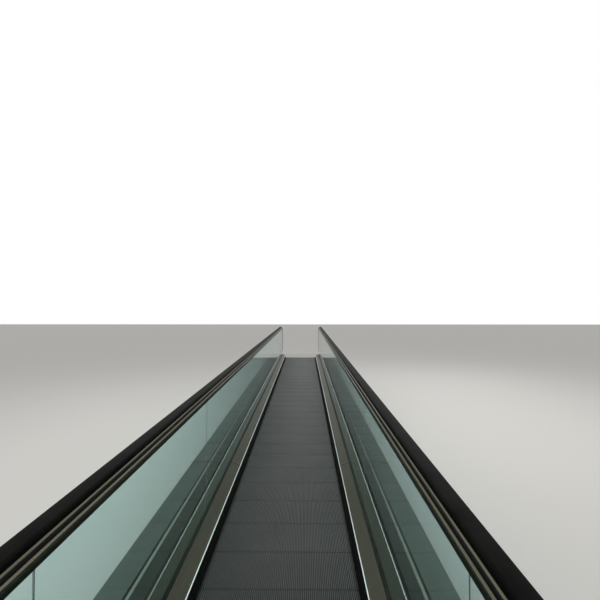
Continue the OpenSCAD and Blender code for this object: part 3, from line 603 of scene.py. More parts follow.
def piece(name, shape, slot, *nodes, crease=35, look=None):
    """An object of a shape: its mesh, its finish, its body, and the nodes that it stands for."""
    verts, faces = shape
    mesh = bpy.data.meshes.new(name)
    mesh.vertices.add(len(verts))
    mesh.vertices.foreach_set("co", verts.astype(np.float32).ravel())
    corners = np.concatenate([f.ravel() for f in faces]).astype(np.int32)
    sizes = np.concatenate([np.full(len(f), f.shape[1]) for f in faces])
    mesh.loops.add(len(corners))
    mesh.loops.foreach_set("vertex_index", corners)
    mesh.polygons.add(len(sizes))
    mesh.polygons.foreach_set("loop_start", (np.cumsum(sizes) - sizes).astype(np.int32))
    mesh.update(calc_edges=True)
    mesh.validate()
    mesh.set_sharp_from_angle(angle=math.radians(crease))
    mesh.polygons.foreach_set("use_smooth", sizes <= 4)
    mesh.materials.append(FINISH[look or slot])
    made = bpy.data.objects.new(name, mesh)
    bpy.context.scene.collection.objects.link(made)
    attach(made, "root")
    if nodes:
        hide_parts(*nodes)


def pair(stem, shape, slot, replace=True, look=None):
    """The right-hand piece and its mirror image on the left, each for its own node if it replaces one."""
    for side, form in (("right", shape), ("left", mirrored(shape))):
        name = f"{stem}_{side}"
        piece(f"fine_{name}", form, slot, *([name] if replace else []), look=look)


# The pallet band


def pin_places(numbers):
    """Y and Z of chain pins: a straight run, half a turn, the run back, half a turn."""
    i = np.asarray(numbers, float) % ALL_LINKS
    step = 2 * np.pi / TEETH
    far, near = (i - RUN_LINKS) * step, (ALL_LINKS - i) * step
    stretch = [i <= RUN_LINKS, i < RUN_LINKS + TURN_LINKS, i < ALL_LINKS - TURN_LINKS]
    y = np.select(stretch, [i * LINK - WHEEL_Y, WHEEL_Y + WHEEL_R * np.sin(far),
                            WHEEL_Y - (i - RUN_LINKS - TURN_LINKS) * LINK], -WHEEL_Y - WHEEL_R * np.sin(near))
    z = np.select(stretch, [PIN_Z + 0 * i, WHEEL_Z + WHEEL_R * np.cos(far), PIN_Z - 2 * WHEEL_R + 0 * i],
                  WHEEL_Z + WHEEL_R * np.cos(near))
    return y, z


def pin_frames(numbers, step):
    """Places of pins, and the matrices that turn Y towards the pin that many further on."""
    (y, z), (y2, z2) = pin_places(numbers), pin_places(numbers + step)
    return places(0, y, z), about_x(np.arctan2(z2 - z, y2 - y))


def symmetric(half, middle=()):
    """Rows of an outline after their own mirror image across X = 0, with further rows between the two."""
    half = np.asarray(half, float)
    return np.concatenate([half[::-1] * [-1, 1], np.reshape(middle, (-1, 2)), half])


def ribs(half, middles):
    """A rib's outline, given by its right-hand half, at each of its middles across X."""
    return (symmetric(half)[None] + np.stack([middles, 0 * middles], 1)[:, None]).reshape(-1, 2)


def tread(fine):
    """The ribbed plate in the pallet's own frame, its axle at the origin.

    Ribs have flat tops on drafted flanks, with half a rib at each edge and a plain underside. On a fine
    plate their edges are eased and their tops fall to both ends of the plate.
    """
    top, ease, draft, depth = 2.5 * MM, 0.7 * MM, 0.5 * MM, 10 * MM
    crown = [[top - ease, 0], [top, -ease]] if fine else [[top, 0]]
    middles = (np.arange(1, RIBS) - RIBS / 2) * RIB_PITCH
    half = PALLET_W / 2
    edge = [[half - top - draft, -depth], [half - top, 0], [half, 0], [half, -PALLET_T]]
    section = symmetric(edge, ribs(crown + [[top + draft, -depth]], middles))
    run, fall = 5 * MM, 3.5 * MM
    y0, y1 = PALLET_GAP / 2, PALLET_L - PALLET_GAP / 2
    ys, falls = ([y0, y0 + run, y1 - run, y1], [fall, 0, 0, fall]) if fine else ([y0, y1], [0, 0])
    tall = section[:, 1] > -2 * MM
    grid = np.zeros((len(ys), len(section), 3))
    grid[..., 0] = section[:, 0]
    grid[..., 1] = np.array(ys)[:, None]
    grid[..., 2] = section[:, 1] + PIN_DROP - np.array(falls)[:, None] * tall
    return skin(grid)


def underside():
    """Webs with eased edges, stiffening bars across them, and the axle with its collars."""
    low, foot, web_x, web_t = PIN_DROP - PALLET_T, -20 * MM, 0.44, 10 * MM
    web = rounded([[10 * MM, low], [0, 6 * MM], [-4 * MM, foot], [PALLET_L - 80 * MM, foot],
                   [PALLET_L - 30 * MM, low]], 4 * MM, 3)
    webs = [slab(web, x - web_t / 2, x + web_t / 2, 0, 1 * MM) for x in np.linspace(-web_x, web_x, 4)]
    bar_x, bar_t = 0.46, 8 * MM
    bars = [block([-bar_x, y, low - 12 * MM], [bar_x, y + bar_t, low + 1 * MM])
            for y in (60 * MM, 200 * MM, PALLET_L - 60 * MM)]
    reach, axle_r = node_box("chain_right")[0][0], 14 * MM
    axle = lathe([[-reach, axle_r - 1 * MM], [2 * MM - reach, axle_r], [reach - 2 * MM, axle_r],
                  [reach, axle_r - 1 * MM]], segments=20)
    collar = np.array([[452, 14], [452, 22], [468, 22], [468, 14]]) * MM
    collars = both(lathe(collar, segments=20, ring=True))
    return joined(webs + bars + [axle, collars])


def band():
    """The upper run with fine ribs, the turns and the run back with plainer ones, each pallet at its pin."""
    first_back, end_back = TOP_PALLETS + TURN_PALLETS, ALL_PALLETS - TURN_PALLETS
    for name, first, end, node in [("upper", 0, TOP_PALLETS, "pallets_upper"),
                                   ("return", first_back, end_back, "pallets_return"),
                                   ("far_turn", TOP_PALLETS, first_back, "pallets_turning"),
                                   ("near_turn", end_back, ALL_PALLETS, "pallets_turning")]:
        one = joined([tread(name == "upper"), underside()])
        shape = copies(one, *pin_frames(3 * np.arange(first, end), 3))
        piece(f"fine_pallets_{name}", shape, "pallets", node, crease=30)


def side_plates(x0, x1, t, play, pitch, r, waist, count, shifts, turns):
    """A chain's side plates, every other pair inside the next: round ends about both pins, and a waist."""
    ends = circle(90, 270, count, r)
    outline = np.concatenate([ends, [[pitch / 2, -waist]], [pitch, 0] - ends, [[pitch / 2, waist]]])
    shapes = []
    for parity, depth in ((0, 0.0), (1, t + play)):
        one = joined([slab(outline, x, x + t, 0) for x in (x0 + depth, x1 - depth - t)])
        shapes.append(copies(one, shifts[parity::2], turns[parity::2]))
    return shapes


def chain():
    """Roller chain: side plates in turn, a pin at each pitch, a roller at each pallet's axle."""
    low, high = node_box("chain_right")
    x0, x1, pin_r = low[0], high[0], 8 * MM
    shifts, turns = pin_frames(np.arange(ALL_LINKS), 1)
    pin = lathe([[x0, pin_r - 1 * MM], [x0 + 1 * MM, pin_r], [x1 - 1 * MM, pin_r], [x1, pin_r - 1 * MM]],
                segments=10)
    plates = side_plates(x0, x1, 3 * MM, 0.2 * MM, LINK, 18 * MM, 13 * MM, 7, shifts, turns)
    pair("chain", joined(plates + [copies(pin, shifts)]), "chain")
    r, bore, rim = 38 * MM, 9 * MM, 3 * MM
    x0, x1 = x0 + 7 * MM, x1 - 7 * MM
    profile = [[x0, bore], [x0, r - rim], [x0 + rim, r], [x1 - rim, r], [x1, r - rim], [x1, bore]]
    pair("chain_rollers", copies(lathe(profile, ring=True), shifts[::3]), "black_rubber", replace=False)


# Balustrade feet: skirts, brushes, deckings, gaskets


def stretches(section, gap, end=DECK_END, end_gap=0.0):
    """A section along the walkway, in stretches with a gap on both sides of each joint."""
    edges = np.concatenate([[-end], COVER_YS, [end]])
    lows, highs = edges[:-1] + gap, edges[1:] - gap
    lows[0], highs[-1] = end_gap - end, end - end_gap
    return joined([along(section, a, b) for a, b in zip(lows, highs)])


def strips():
    """The bright strip, its inner upper edge on a wide round, in bays with hairline joints."""
    section = rounded(rectangle(STRIP_LOW[0], STRIP_LOW[2], STRIP_HIGH[0], STRIP_HIGH[2]),
                      np.array([0.6, 0.5, 1, 4]) * MM, 6, 0.2 * MM)
    hair = 0.4 * MM
    pair("skirt_strip", stretches(section, hair, end_gap=hair), "bright_strip")


def brushes():
    """A holder rail on the skirt and a row of tufts that reach out over the pallets, tips uneven."""
    low, high = node_box("brush_right")
    holder_w, pitch = 9 * MM, 4.5 * MM
    x0, x1 = high[0] - holder_w, high[0]
    rail = along(rounded(rectangle(x0, low[2], x1, high[2]), 2 * MM, 4), low[1], high[1])
    rng = np.random.default_rng(7)
    y = np.arange(low[1] + pitch, high[1] - pitch, pitch)
    n = len(y)
    uneven_x, uneven_y, uneven_z = 0.06 * (x0 - low[0]), 2.5 * MM, 3 * MM
    tips = places(low[0] + uneven_x * rng.random(n), y + uneven_y * (rng.random(n) - 0.5),
                  low[2] + 3 * MM + uneven_z * (rng.random(n) - 0.5))
    roots = places(x0, y, low[2] + 7.5 * MM)
    bends = (roots + tips) / 2 + [0, 0, 0.8 * MM]
    square = np.array(rectangle(-1, -1, 1, 1))
    root_half, bend_half, tip_half = 2.1 * MM, 1.32 * MM, 1.2 * MM
    rings = np.stack([at[:, None] + laid(square * half, 0, 0)
                      for at, half in ((roots, root_half), (bends, bend_half), (tips, tip_half))], 1)
    local = np.concatenate(skin(rings[0])[1])
    faces = (local[None] + (np.arange(n) * 12)[:, None, None]).reshape(-1, 4)
    pair("brush", joined([rail, (rings.reshape(-1, 3), [faces])]), "brushes")


def inner_top(x):
    """Height of the inner decking's upper face at x."""
    share = (x - INNER_LOW[0]) / (INNER_HIGH[0] - INNER_LOW[0])
    return STRIP_HIGH[2] + share * (INNER_HIGH[2] - STRIP_HIGH[2])


def inner_decks():
    """Folded sheet from the skirt strip up to the glass, its bends on rounds."""
    x0, x1, t = INNER_LOW[0], INNER_HIGH[0], SHEET_T
    lip = INNER_HIGH[2] - 24 * MM
    points = [[x0, INNER_LOW[2]], [x0, inner_top(x0)], [x1, inner_top(x1)], [x1, lip], [x1 - t, lip],
              [x1 - t, inner_top(x1 - t) - t], [x0 + t, inner_top(x0 + t) - t], [x0 + t, INNER_LOW[2]]]
    radii = np.array([0.3, 4, 4, 0.3, 0.3, 1.5, 1.5, 0.3]) * MM
    pair("inner_deck", stretches(rounded(points, radii, 5, 1 * MM), 1 * MM), "decking")


def outer_decks():
    """Folded sheet outside the glass: flat, a hem and a groove at the fold, a fall to the edge, a fascia.

    Near both ends the sheet stops short of the glass, where the handrail goes down through it.
    """
    x0, x1, low, z, t = OUTER_LOW[0], OUTER_HIGH[0], OUTER_LOW[2], OUTER_HIGH[2], SHEET_T
    lip = z - 25 * MM
    slope = FALL / (x1 - FOLD_X)
    rise, depth, flank = 1.3 * MM, 2.2 * MM, 1.2 * MM
    hole_x, hole_y = RAIL_X + RAIL_W / 2 + 6 * MM, HOUSING_Y + 12 * MM
    outside = [[HEM_IN, z], [HEM_IN + flank, z + rise], [HEM_OUT - flank, z + rise], [HEM_OUT, z - depth],
               [GROOVE_OUT - flank, z - depth], [GROOVE_OUT, z - slope * (GROOVE_OUT - FOLD_X)],
               [x1, OUTER_EDGE_Z], [x1, low], [x1 - t, low], [x1 - t, OUTER_EDGE_Z + slope * t - t],
               [FOLD_X, z - t]]
    radii = [0.5, 0.7, 0.7, 0.3, 0.3, 0.5, 6, 0.3, 0.3, 3, 30]
    whole = rounded([[x0, lip], [x0, z]] + outside + [[x0 + t, z - t], [x0 + t, lip]],
                    np.array([0.3, 3] + radii + [1, 0.3]) * MM, 5, 1 * MM)
    short = rounded([[hole_x, z - t], [hole_x, z]] + outside, np.array([0.3, 0.3] + radii) * MM, 5, 1 * MM)
    ends = [along(short, -DECK_END, -hole_y), along(short, hole_y, DECK_END)]
    # The outer decking's finish carries painted light along its fold strips
    pair("outer_deck", joined([stretches(whole, 1 * MM, hole_y)] + ends), "decking", look="outer_decking_painted_light")


def joint_covers():
    """Cover strips over the joints of both deckings, eased along both edges."""
    half, t, ease = 22 * MM, 1.5 * MM, 0.7 * MM
    x0, x1 = INNER_LOW[0], INNER_HIGH[0]
    z0, z1 = inner_top(x0), inner_top(x1)
    inner = rounded([[x0, z0], [x1, z1], [x1, z1 + t], [x0, z0 + t]], np.array([0.2, 0.2, 0.6, 0.6]) * MM,
                    3, 0.2 * MM)
    a, b, z, edge = OUTER_LOW[0], OUTER_HIGH[0], OUTER_HIGH[2], OUTER_EDGE_Z
    outer = rounded([[a, z], [FOLD_X, z], [b, edge], [b, DECK], [b + t, DECK], [b + t, edge + t],
                     [FOLD_X, z + t], [a, z + t]],
                    np.array([0.2, 25, 2, 0.3, 0.3, 4, 25, 0.6]) * MM, 4, 1 * MM)
    one = joined([slab(outline, -half, half, 1, ease, 3) for outline in (inner, outer)])
    piece("fine_joint_covers", both(copies(one, places(0, COVER_YS, 0))), "decking", "joint_covers")


def gaskets():
    """Two rubber strips that hold the glass: a leg down in the clamp and a lip that falls away."""
    low, high = node_box("gasket_right")
    play, leg, lip, drop = 0.3 * MM, 2.7 * MM, 10 * MM, 6 * MM
    shelf = DECK + 88 * MM
    half = [[play, low[2]], [play, high[2]], [lip, high[2] - drop], [lip, shelf], [leg, shelf], [leg, low[2]]]
    section = rounded(half, np.array([0.3, 1.5, 2.5, 1, 0.5, 0.3]) * MM, 4)
    sides = [along(section * [sign, 1] + [face, 0], low[1], high[1])
             for sign, face in ((-1, PANE_LOW[0]), (1, PANE_HIGH[0]))]
    pair("gasket", joined(sides), "black_rubber")


# Glass, guides and handrails


def panes():
    """Panes with polished, eased edges, one for each bay and one round each newel."""
    gap, ease = 2 * MM, 1.2 * MM
    z0, z1 = PANE_LOW[2], PANE_HIGH[2]
    edges = np.linspace(-GLASS_END, GLASS_END, BAYS + 1)
    outlines = [rounded(rectangle(a + gap, z0, b - gap, z1), 3 * MM, 3)
                for a, b in zip(edges[:-1], edges[1:])]
    y0 = GLASS_END + gap
    outlines.append(np.concatenate([[[y0, z0], [DECK_END, z0], [DECK_END, NEWEL_Z - NEWEL_R]],
                                    [NEWEL_Y, NEWEL_Z] + circle(-90, 90, NEWEL_STEPS, NEWEL_R),
                                    [[y0, z1]]]))
    shapes = [slab(outline, PANE_LOW[0], PANE_HIGH[0], 0, ease, 3) for outline in outlines]
    pair("glass", joined(shapes + [mirrored(shapes[-1], 1)]), "glass")


def guide_section():
    """The guide's section in mm from the glass edge: grip, groove, wide band, shelf, neck and track head."""
    corner = np.array([PANE_LOW[0], PANE_HIGH[2]])
    glass = (PANE_HIGH[0] - PANE_LOW[0]) / MM
    rail = (RAIL_X - PANE_LOW[0]) / MM
    wide, neck, head = RAIL_W / MM / 2, 18, 24
    rows = np.array([
        [-3.3, -3, 0.3], [-3.3, 24.5, 1.5], [-1, 26.8, 2], [6, 28.2, 1.2], [6, 20, 0.6], [12.5, 20, 0.6],
        [12.5, 41.5, 1.5], [rail - wide - 3, 48, 2], [rail - wide - 3, 37, 0.6], [rail - neck, 37, 1],
        [rail - neck, 47, 0.6], [rail - head, 47, 0.6], [rail - head, 53, 1], [rail + head, 53, 1],
        [rail + head, 47, 0.6], [rail + neck, 47, 0.6], [rail + neck, 37, 1], [rail + wide - 3, 37, 1],
        [rail + wide - 3, 31, 1.5], [glass + 6, 5, 2], [glass + 5.5, -3, 0.5], [glass + 0.3, -3, 0.3],
        [glass + 0.3, 0.3, 0.3], [-0.3, 0.3, 0.3], [-0.3, -3, 0.3]])
    return rounded(rows[:, :2] * MM + corner, rows[:, 2] * MM, 4, 0.3 * MM)


def guides():
    """One guide a side, half round at both newels, with painted shade on its grip as a dark sheet, and a
    strip in its groove.
    """
    collar_y = DECK_END + 28 * MM
    path = chained(stations([-collar_y], NEWEL_Z, -1.0),
                   arc_stations(-NEWEL_Y, NEWEL_Z, 0.0, 270, 90, NEWEL_STEPS),
                   stations(np.linspace(-GLASS_END, GLASS_END, 4 * BAYS + 1), NEWEL_Z),
                   arc_stations(NEWEL_Y, NEWEL_Z, 0.0, 90, -90, NEWEL_STEPS),
                   stations([collar_y], NEWEL_Z, -1.0))
    pair("guide", swept(guide_section() - [0, NEWEL_Z], *path), "guides")
    # First row: a thin dark sheet on the grip's face, painted shade; second row: a rubber strip in the groove
    for name, slot, look, away, foot, tall in [("grip_painted_shade", "guides", "guide_grip_painted_shade", -4.4, -4.0, 22.5),
                                               ("guide_strip", "black_rubber", None, 11.4, 20.3, 20.7)]:
        x0, z0 = PANE_LOW[0] + away * MM, PANE_HIGH[2] + foot * MM
        section = rounded(rectangle(x0, z0, x0 + 1 * MM, z0 + tall * MM), 0.4 * MM, 3)
        pair(name, swept(section - [0, NEWEL_Z], *path), slot, replace=False, look=look)


def handrail_section():
    """A domed back on round shoulders, closing under the track's head with two lips."""
    half, t = RAIL_W / 2, RAIL_T / 2
    crown, lip, wall, slot = 1.2 * MM, 4.5 * MM, 8 * MM, 20 * MM
    slot_top = t - 13.7 * MM
    rows = np.array([
        [-half, -t, 9], [-slot, -t, 1.5], [-slot, lip - t, 1], [wall - half, lip - t, 1.5],
        [wall - half, slot_top, 2], [half - wall, slot_top, 2], [half - wall, lip - t, 1.5],
        [slot, lip - t, 1], [slot, -t, 1.5], [half, -t, 9], [half, t - crown, 13], [0, t, 90],
        [-half, t - crown, 13]])
    return rounded(rows[:, :2], rows[:, 2] * MM, 7) + [RAIL_X, 0]


def handrails():
    """One endless handrail a side: newels, an S down into the truss, and the run back below the pallets."""
    bend_r, bend = 0.5, 45.0
    drop, run = bend_r * (1 - math.cos(math.radians(bend))), bend_r * math.sin(math.radians(bend))
    back, dive_y = DECK - 0.33, DECK_END - 40 * MM
    slant = (INLET_Z - back - 2 * drop) / math.sin(math.radians(bend))
    end_y = dive_y - 2 * run - slant * math.cos(math.radians(bend))
    far = chained(arc_stations(NEWEL_Y, NEWEL_Z, RAIL_MID_R, 90, -90, 41),
                  arc_stations(dive_y, INLET_Z - bend_r, bend_r, 90, 90 + bend, 12, -1.0),
                  arc_stations(end_y, back + bend_r, bend_r, bend - 90, -90, 12))
    near = tuple(part[::-1] * [1, -1, 1] for part in far)
    top = stations(np.linspace(-GLASS_END, GLASS_END, 25), NEWEL_Z + RAIL_MID_R)
    pair("handrail", swept(handrail_section(), *chained(top, far, near), closed=True), "handrail")


# Handrail inlets


def button(r, top_r, shoulder, centre, axis):
    """A round screw head 2 mm high: straight up to its shoulder, then narrowing to its top. All in mm."""
    return lathe(np.array([[0, r], [shoulder, r], [2, top_r]]) * MM, centre, axis, 14)


def housing_hood():
    """A sheet hood: a slope up from the decking, a flat top, a round front; its long edges on rounds."""
    x0, x1 = OUTER_LOW[0], RAIL_X + RAIL_W / 2 + 20 * MM
    low, top = OUTER_HIGH[2], node_box("inlet_housings")[1][2]
    front_r, slope_l, wall, edge_r, start_h = 40 * MM, 0.3, 2 * MM, 12 * MM, 3 * MM
    front = circle(90, 0, 9, front_r)
    share = np.linspace(0, 1, 7)
    y = np.concatenate([HOUSING_Y + slope_l * share, DECK_END - front_r + front[:, 0]])[:, None]
    h = np.concatenate([low + start_h + (top - low - start_h) * share, top - front_r + front[:, 1]])[:, None]
    c, s = circle(0, 90, 5).T

    def half_loop(depth):
        """X and Z of the hood's face that far inside it: up one side, round, across, round and down."""
        edge = np.minimum(edge_r - depth, 0.4 * (h - low))
        xs = x0 + depth + edge * (1 - c)
        zs = h - depth - edge * (1 - s)
        xs = np.concatenate([0 * h + x0 + depth, xs, x0 + x1 - xs[:, ::-1], 0 * h + x1 - depth], 1)
        return xs, np.concatenate([0 * h + low, zs, zs[:, ::-1], 0 * h + low], 1)

    (outer_x, outer_z), (inner_x, inner_z) = half_loop(0.0), half_loop(wall)
    xs = np.concatenate([outer_x, inner_x[:, ::-1]], 1)
    zs = np.concatenate([outer_z, inner_z[:, ::-1]], 1)
    hood = skin(np.stack([xs, np.broadcast_to(y, xs.shape), zs], 2))
    outer = rounded(rectangle(x0, low, x1, top - front_r), np.array([0.3, 0.3, 12, 12]) * MM, 5)
    play = 2 * MM
    reach, hole_x = RAIL_T / 2 + play, RAIL_X + RAIL_W / 2 + play
    hole = rounded(rectangle(x0 + play, INLET_Z - reach, hole_x, INLET_Z + reach), 3 * MM, 5)
    plate = skin(np.stack([laid(outline, y_face, 1) for outline, y_face in (
        (outer, DECK_END), (hole, DECK_END), (hole, DECK_END - wall), (outer, DECK_END - wall))]), True)
    screws = [button(4, 2.4, 1.2, [x1, y_screw, low + 12 * MM], 0)
              for y_screw in (HOUSING_Y + 0.2, HOUSING_Y + 0.36, DECK_END - 30 * MM)]
    return joined([hood, plate] + screws)


def end_plates():
    """Sheets with eased edges that close the deckings off above the landing, held by screws."""
    low = node_box("comb_plates")[1][2]
    clamp_in, clamp_out = (corner[0] for corner in node_box("clamp_right"))
    x0, x1, flat_z = INNER_LOW[0] - 0.5 * MM, OUTER_HIGH[0], OUTER_HIGH[2]
    inner = [[x0, low], [clamp_in, low], [clamp_in, INNER_HIGH[2]], [x0, STRIP_HIGH[2]]]
    outer = [[clamp_out, low], [x1, low], [x1, OUTER_EDGE_Z], [FOLD_X, flat_z], [clamp_out, flat_z]]
    plates = [slab(rounded(outline, 1 * MM, 3), DECK_END, DECK_END + SHEET_T, 1, 0.6 * MM, 3)
              for outline in (inner, outer)]
    heads = [button(4.5, 2.5, 1, [x, DECK_END + SHEET_T, low + up * MM], 1)
             for x, up in ((x0 + 40 * MM, 20), (clamp_out + 60 * MM, 18), (FOLD_X, 60), (x1 - 25 * MM, 18),
                           (x1 - 25 * MM, 50))]
    return joined(plates + heads)


def inlets():
    """Housings with their end plates, and the ribbed rubber collars round the handrails."""
    sheet = joined([housing_hood(), end_plates()])
    piece("fine_inlet_housings", corners_of(sheet), "decking", "inlet_housings")
    low, high = node_box("inlet_caps")
    reach, half_h = high[0] - RAIL_X, (high[2] - low[2]) / 2
    sides = rectangle(RAIL_X - reach, INLET_Z - half_h, RAIL_X + reach, INLET_Z + half_h)
    outline = rounded(sides, 20 * MM, 8)
    profile = np.array([[0, 1.5], [1.5, 0], [7, 0], [9, 2.5], [12, 2.5], [14, 0.8], [19, 0.8], [21, 3],
                        [24, 3.6], [26.4, 6], [27, 8.6], [24, 10.3], [0, 10.3]]) * MM
    loops = [laid(inset(outline, depth), DECK_END + away, 1) for away, depth in profile]
    collar = skin(np.stack(loops), True)
    piece("fine_inlet_caps", corners_of(collar), "black_rubber", "inlet_caps", crease=50)


# Landings: combs, ribbed plates, trims


def comb_tooth():
    """One tooth in Y and Z from the comb's edge: a round nose in the groove, up to a ridge on the body."""
    rows = np.array([[0, -5, 1.2], [8, -7, 3], [38, -7, 3], [44, 0.5, 1], [100, 5, 0.5], [100, 7.6, 0.5],
                     [60, 6.6, 8], [40, 4, 8], [0, -2.5, 1.2]]) * MM
    outline = rounded(rows[:, :2], rows[:, 2], 3)
    verts, faces = slab(outline, -1.8 * MM, 1.8 * MM, 0, 0.5 * MM)
    narrow, narrow_l = 0.35, 45 * MM
    verts[:, 0] *= 1 - narrow * np.clip(1 - verts[:, 1] / narrow_l, 0, 1)
    return verts, faces


def combs():
    """Comb segments: body, tapered teeth between the pallets' ribs, two countersunk screws each."""
    low, high = node_box("comb_segments")
    count, length, screw_y, hair = 5, 130, 116 * MM, 0.3 * MM
    depth = (high[2] - low[2]) / MM
    start = high[1] - length * MM
    wide = PALLET_W / count
    body = rounded(np.array([[42, 0], [length, 0], [length, depth], [100, depth], [42, 4]]) * MM,
                   np.array([1, 0.5, 0.5, 20, 1]) * MM, 4) + [start, low[2]]
    screw = countersunk(high[2], 6 * MM, 2.8 * MM, 2 * MM)
    parts = []
    for x0 in np.arange(count) * wide - PALLET_W / 2:
        parts.append(slab(body, x0 + hair, x0 + wide - hair, 0, 0.5 * MM))
        parts.append(copies(screw, places([x0 + 0.25 * wide, x0 + 0.75 * wide], start + screw_y, 0)))
    xs = (np.arange(RIBS) + 0.5) * RIB_PITCH - PALLET_W / 2
    teeth = copies(comb_tooth(), places(xs, start, DECK))
    piece("fine_comb_segments", both(joined(parts + [teeth]), 1), "combs", "comb_segments")


def ribbed_plate(half, y0, y1, low, top, trim=16 * MM):
    """A plate with fine ribs along Y between plain edges, and a plain trim at both ends of the ribs."""
    pitch, depth, rib, ease, hair = 12 * MM, 1.4 * MM, 6.4 * MM, 0.8 * MM, 0.2 * MM
    count = int((2 * half - 40 * MM) / pitch)
    middles = (np.arange(count) - (count - 1) / 2) * pitch
    all_ribs = ribs([[rib / 2 - 0.3 * MM, 0], [rib / 2 + 0.5 * MM, -depth]], middles)
    shoulder = 4 * MM - all_ribs[0, 0]
    edge = [[shoulder, -depth], [shoulder, 0], [half - ease, 0], [half, -ease], [half, low - top]]
    section = symmetric(edge, all_ribs) + [0, top]
    return joined([along(section, y0 + trim, y1 - trim),
                   block([-half, y0, low], [half, y0 + trim - hair, top], ease),
                   block([-half, y1 - trim + hair, low], [half, y1, top], ease)])


def landings():
    """Ribbed comb plates and floor plates, with screws and the plugs of the lifting holes in their trims."""
    low, high = node_box("comb_plates")
    wide, plate_end = high[0], high[1]
    joint = DECK_END + 5 * MM
    shapes = [ribbed_plate(SKIRT_LOW[0] - 2 * MM, node_box("comb_segments")[1][1], joint, low[2], high[2]),
              ribbed_plate(wide, joint, plate_end, low[2], high[2])]
    xs = np.linspace(60 * MM - wide, wide - 60 * MM, 7)
    shapes.append(copies(countersunk(high[2], 7 * MM, 3.2 * MM, 2 * MM), places(xs, plate_end - 8 * MM, 0)))
    piece("fine_comb_plates", both(joined(shapes), 1), "landing", "comb_plates")
    low, high = node_box("floor_plates")
    gap, trim, plug_x = 3 * MM, 24 * MM, 0.6
    half = (high[1] - plate_end) / 2
    starts = (plate_end, plate_end + half)
    shapes = [ribbed_plate(high[0], y + gap, y + half, low[2], high[2], trim) for y in starts]
    spots = [[x, y + away, 0] for x in (-plug_x, plug_x) for y in starts
             for away in (gap + trim / 2, half - trim / 2)]
    shapes.append(copies(countersunk(high[2], 8 * MM, 3.5 * MM, 3 * MM, 24), spots))
    piece("fine_floor_plates", both(joined(shapes), 1), "landing", "floor_plates")


# Truss, feet, carriers and drive


def gussets():
    """Plates with bolts where posts and diagonals meet the chords, on the posts' outer faces."""
    chord, post, t, half, tall, slant = 80 * MM, 60 * MM, 6 * MM, 150 * MM, 150 * MM, 60 * MM
    face = TRUSS_HIGH[0] - chord / 2 + post / 2
    outline = rounded([[-half, 0], [half, 0], [half - slant, tall], [slant - half, tall]], 8 * MM, 3)
    plate = slab(outline, face, face + t, 0, 0.8 * MM)
    spots = np.array([[-100, 35], [-40, 35], [40, 35], [100, 35], [-40, 100], [40, 100]]) * MM
    one = joined([plate, copies(hex_bolt(9 * MM, 7 * MM, 0), laid(spots, face + t, 0))])
    posts = np.arange(-BAYS - 1, BAYS + 2) * BAY / 2
    lower = copies(one, places(0, posts, TRUSS_LOW[2] + chord))
    verts, faces = mirrored(lower, 2)
    upper = verts + [0, 0, TRUSS_LOW[2] + TRUSS_HIGH[2]], faces
    piece("truss_gussets", both(joined([lower, upper])), "truss_paint")


def foot_nuts():
    """A threaded stem with a lock nut on each levelling foot."""
    turns, stem_r, thread = 23, 24 * MM, 1.2 * MM
    stem = np.stack([np.linspace(15, 48, turns) * MM, stem_r + thread * (np.arange(turns) % 2)], 1)
    nut = np.array([[18, 34], [20, 37], [32, 37], [34, 34]]) * MM
    washer = np.array([[15, 40], [18, 40]]) * MM
    one = joined([lathe(profile, axis=2, segments=count)
                  for profile, count in ((stem, 20), (nut, 6), (washer, 28))])
    ys = np.array([0.5, 1.5, 2.5, 3.5]) * BAY
    piece("foot_nuts", corners_of(copies(one, places(TRUSS_HIGH[0] - 40 * MM, ys, 0))), "galvanised")


def carriers():
    """Handrail rollers with crowned treads and side discs, on arms bolted to the truss posts."""
    low, high = node_box("handrail_carriers")
    r = (high[2] - low[2]) / 2 / MM
    x0, x1, middle, end = (x / MM for x in (RAIL_X - RAIL_W / 2, RAIL_X + RAIL_W / 2, RAIL_X, high[0]))
    wheel = lathe(np.array([[x0, 9], [x0, r - 5], [x0 + 1.5, r - 2], [x0 + 8, r - 0.3], [middle, r],
                            [x1 - 8, r - 0.3], [x1 - 1.5, r - 2], [x1, r - 5], [x1, 9]]) * MM,
                  segments=28, ring=True)
    arm = lathe(np.array([[x0 - 4, 7], [x0 - 3, 9], [x1 + 3, 9], [x1 + 3, 14], [x1 + 9, 14], [x1 + 9, 10],
                          [end - 8, 10], [end - 8, 28], [end - 1, 28], [end, 27]]) * MM)
    bolts = copies(hex_bolt(5 * MM, 4 * MM, 0, -1), places((end - 8) * MM, 0, np.array([19, -19]) * MM))
    reach = int((high[1] - low[1]) / BAY)
    ys = np.arange(-reach, reach + 1) * BAY / 2
    spots = places(0, ys[np.abs(ys) < high[1]], (low[2] + high[2]) / 2)
    piece("fine_carrier_rollers", both(copies(wheel, spots)), "black_rubber", "handrail_carriers")
    piece("fine_carrier_arms", both(copies(joined([arm, bolts]), spots)), "black_steel", "handrail_carriers")


def belt_places(a, ra, b, rb, count):
    """Places and headings at even steps along a belt pulled tight round two circles in Y and Z."""
    a, b = np.asarray(a, float), np.asarray(b, float)
    span = b - a
    lean = math.degrees(math.atan2(span[1], span[0]))
    opening = math.degrees(math.acos((ra - rb) / np.linalg.norm(span)))
    loop = np.concatenate([a + circle(lean + opening, lean + 360 - opening, 60, ra),
                           b + circle(lean - opening, lean + opening, 60, rb)])
    loop = np.concatenate([loop, loop[:1]])
    steps = np.concatenate([[0], np.cumsum(np.linalg.norm(np.diff(loop, axis=0), axis=1))])
    at = np.arange(count + 1) * steps[-1] / count
    spots = np.stack([np.interp(at, steps, loop[:, k]) for k in (0, 1)], 1)
    return spots[:-1], np.arctan2(*(spots[1:] - spots[:-1]).T[::-1]), steps[-1] / count


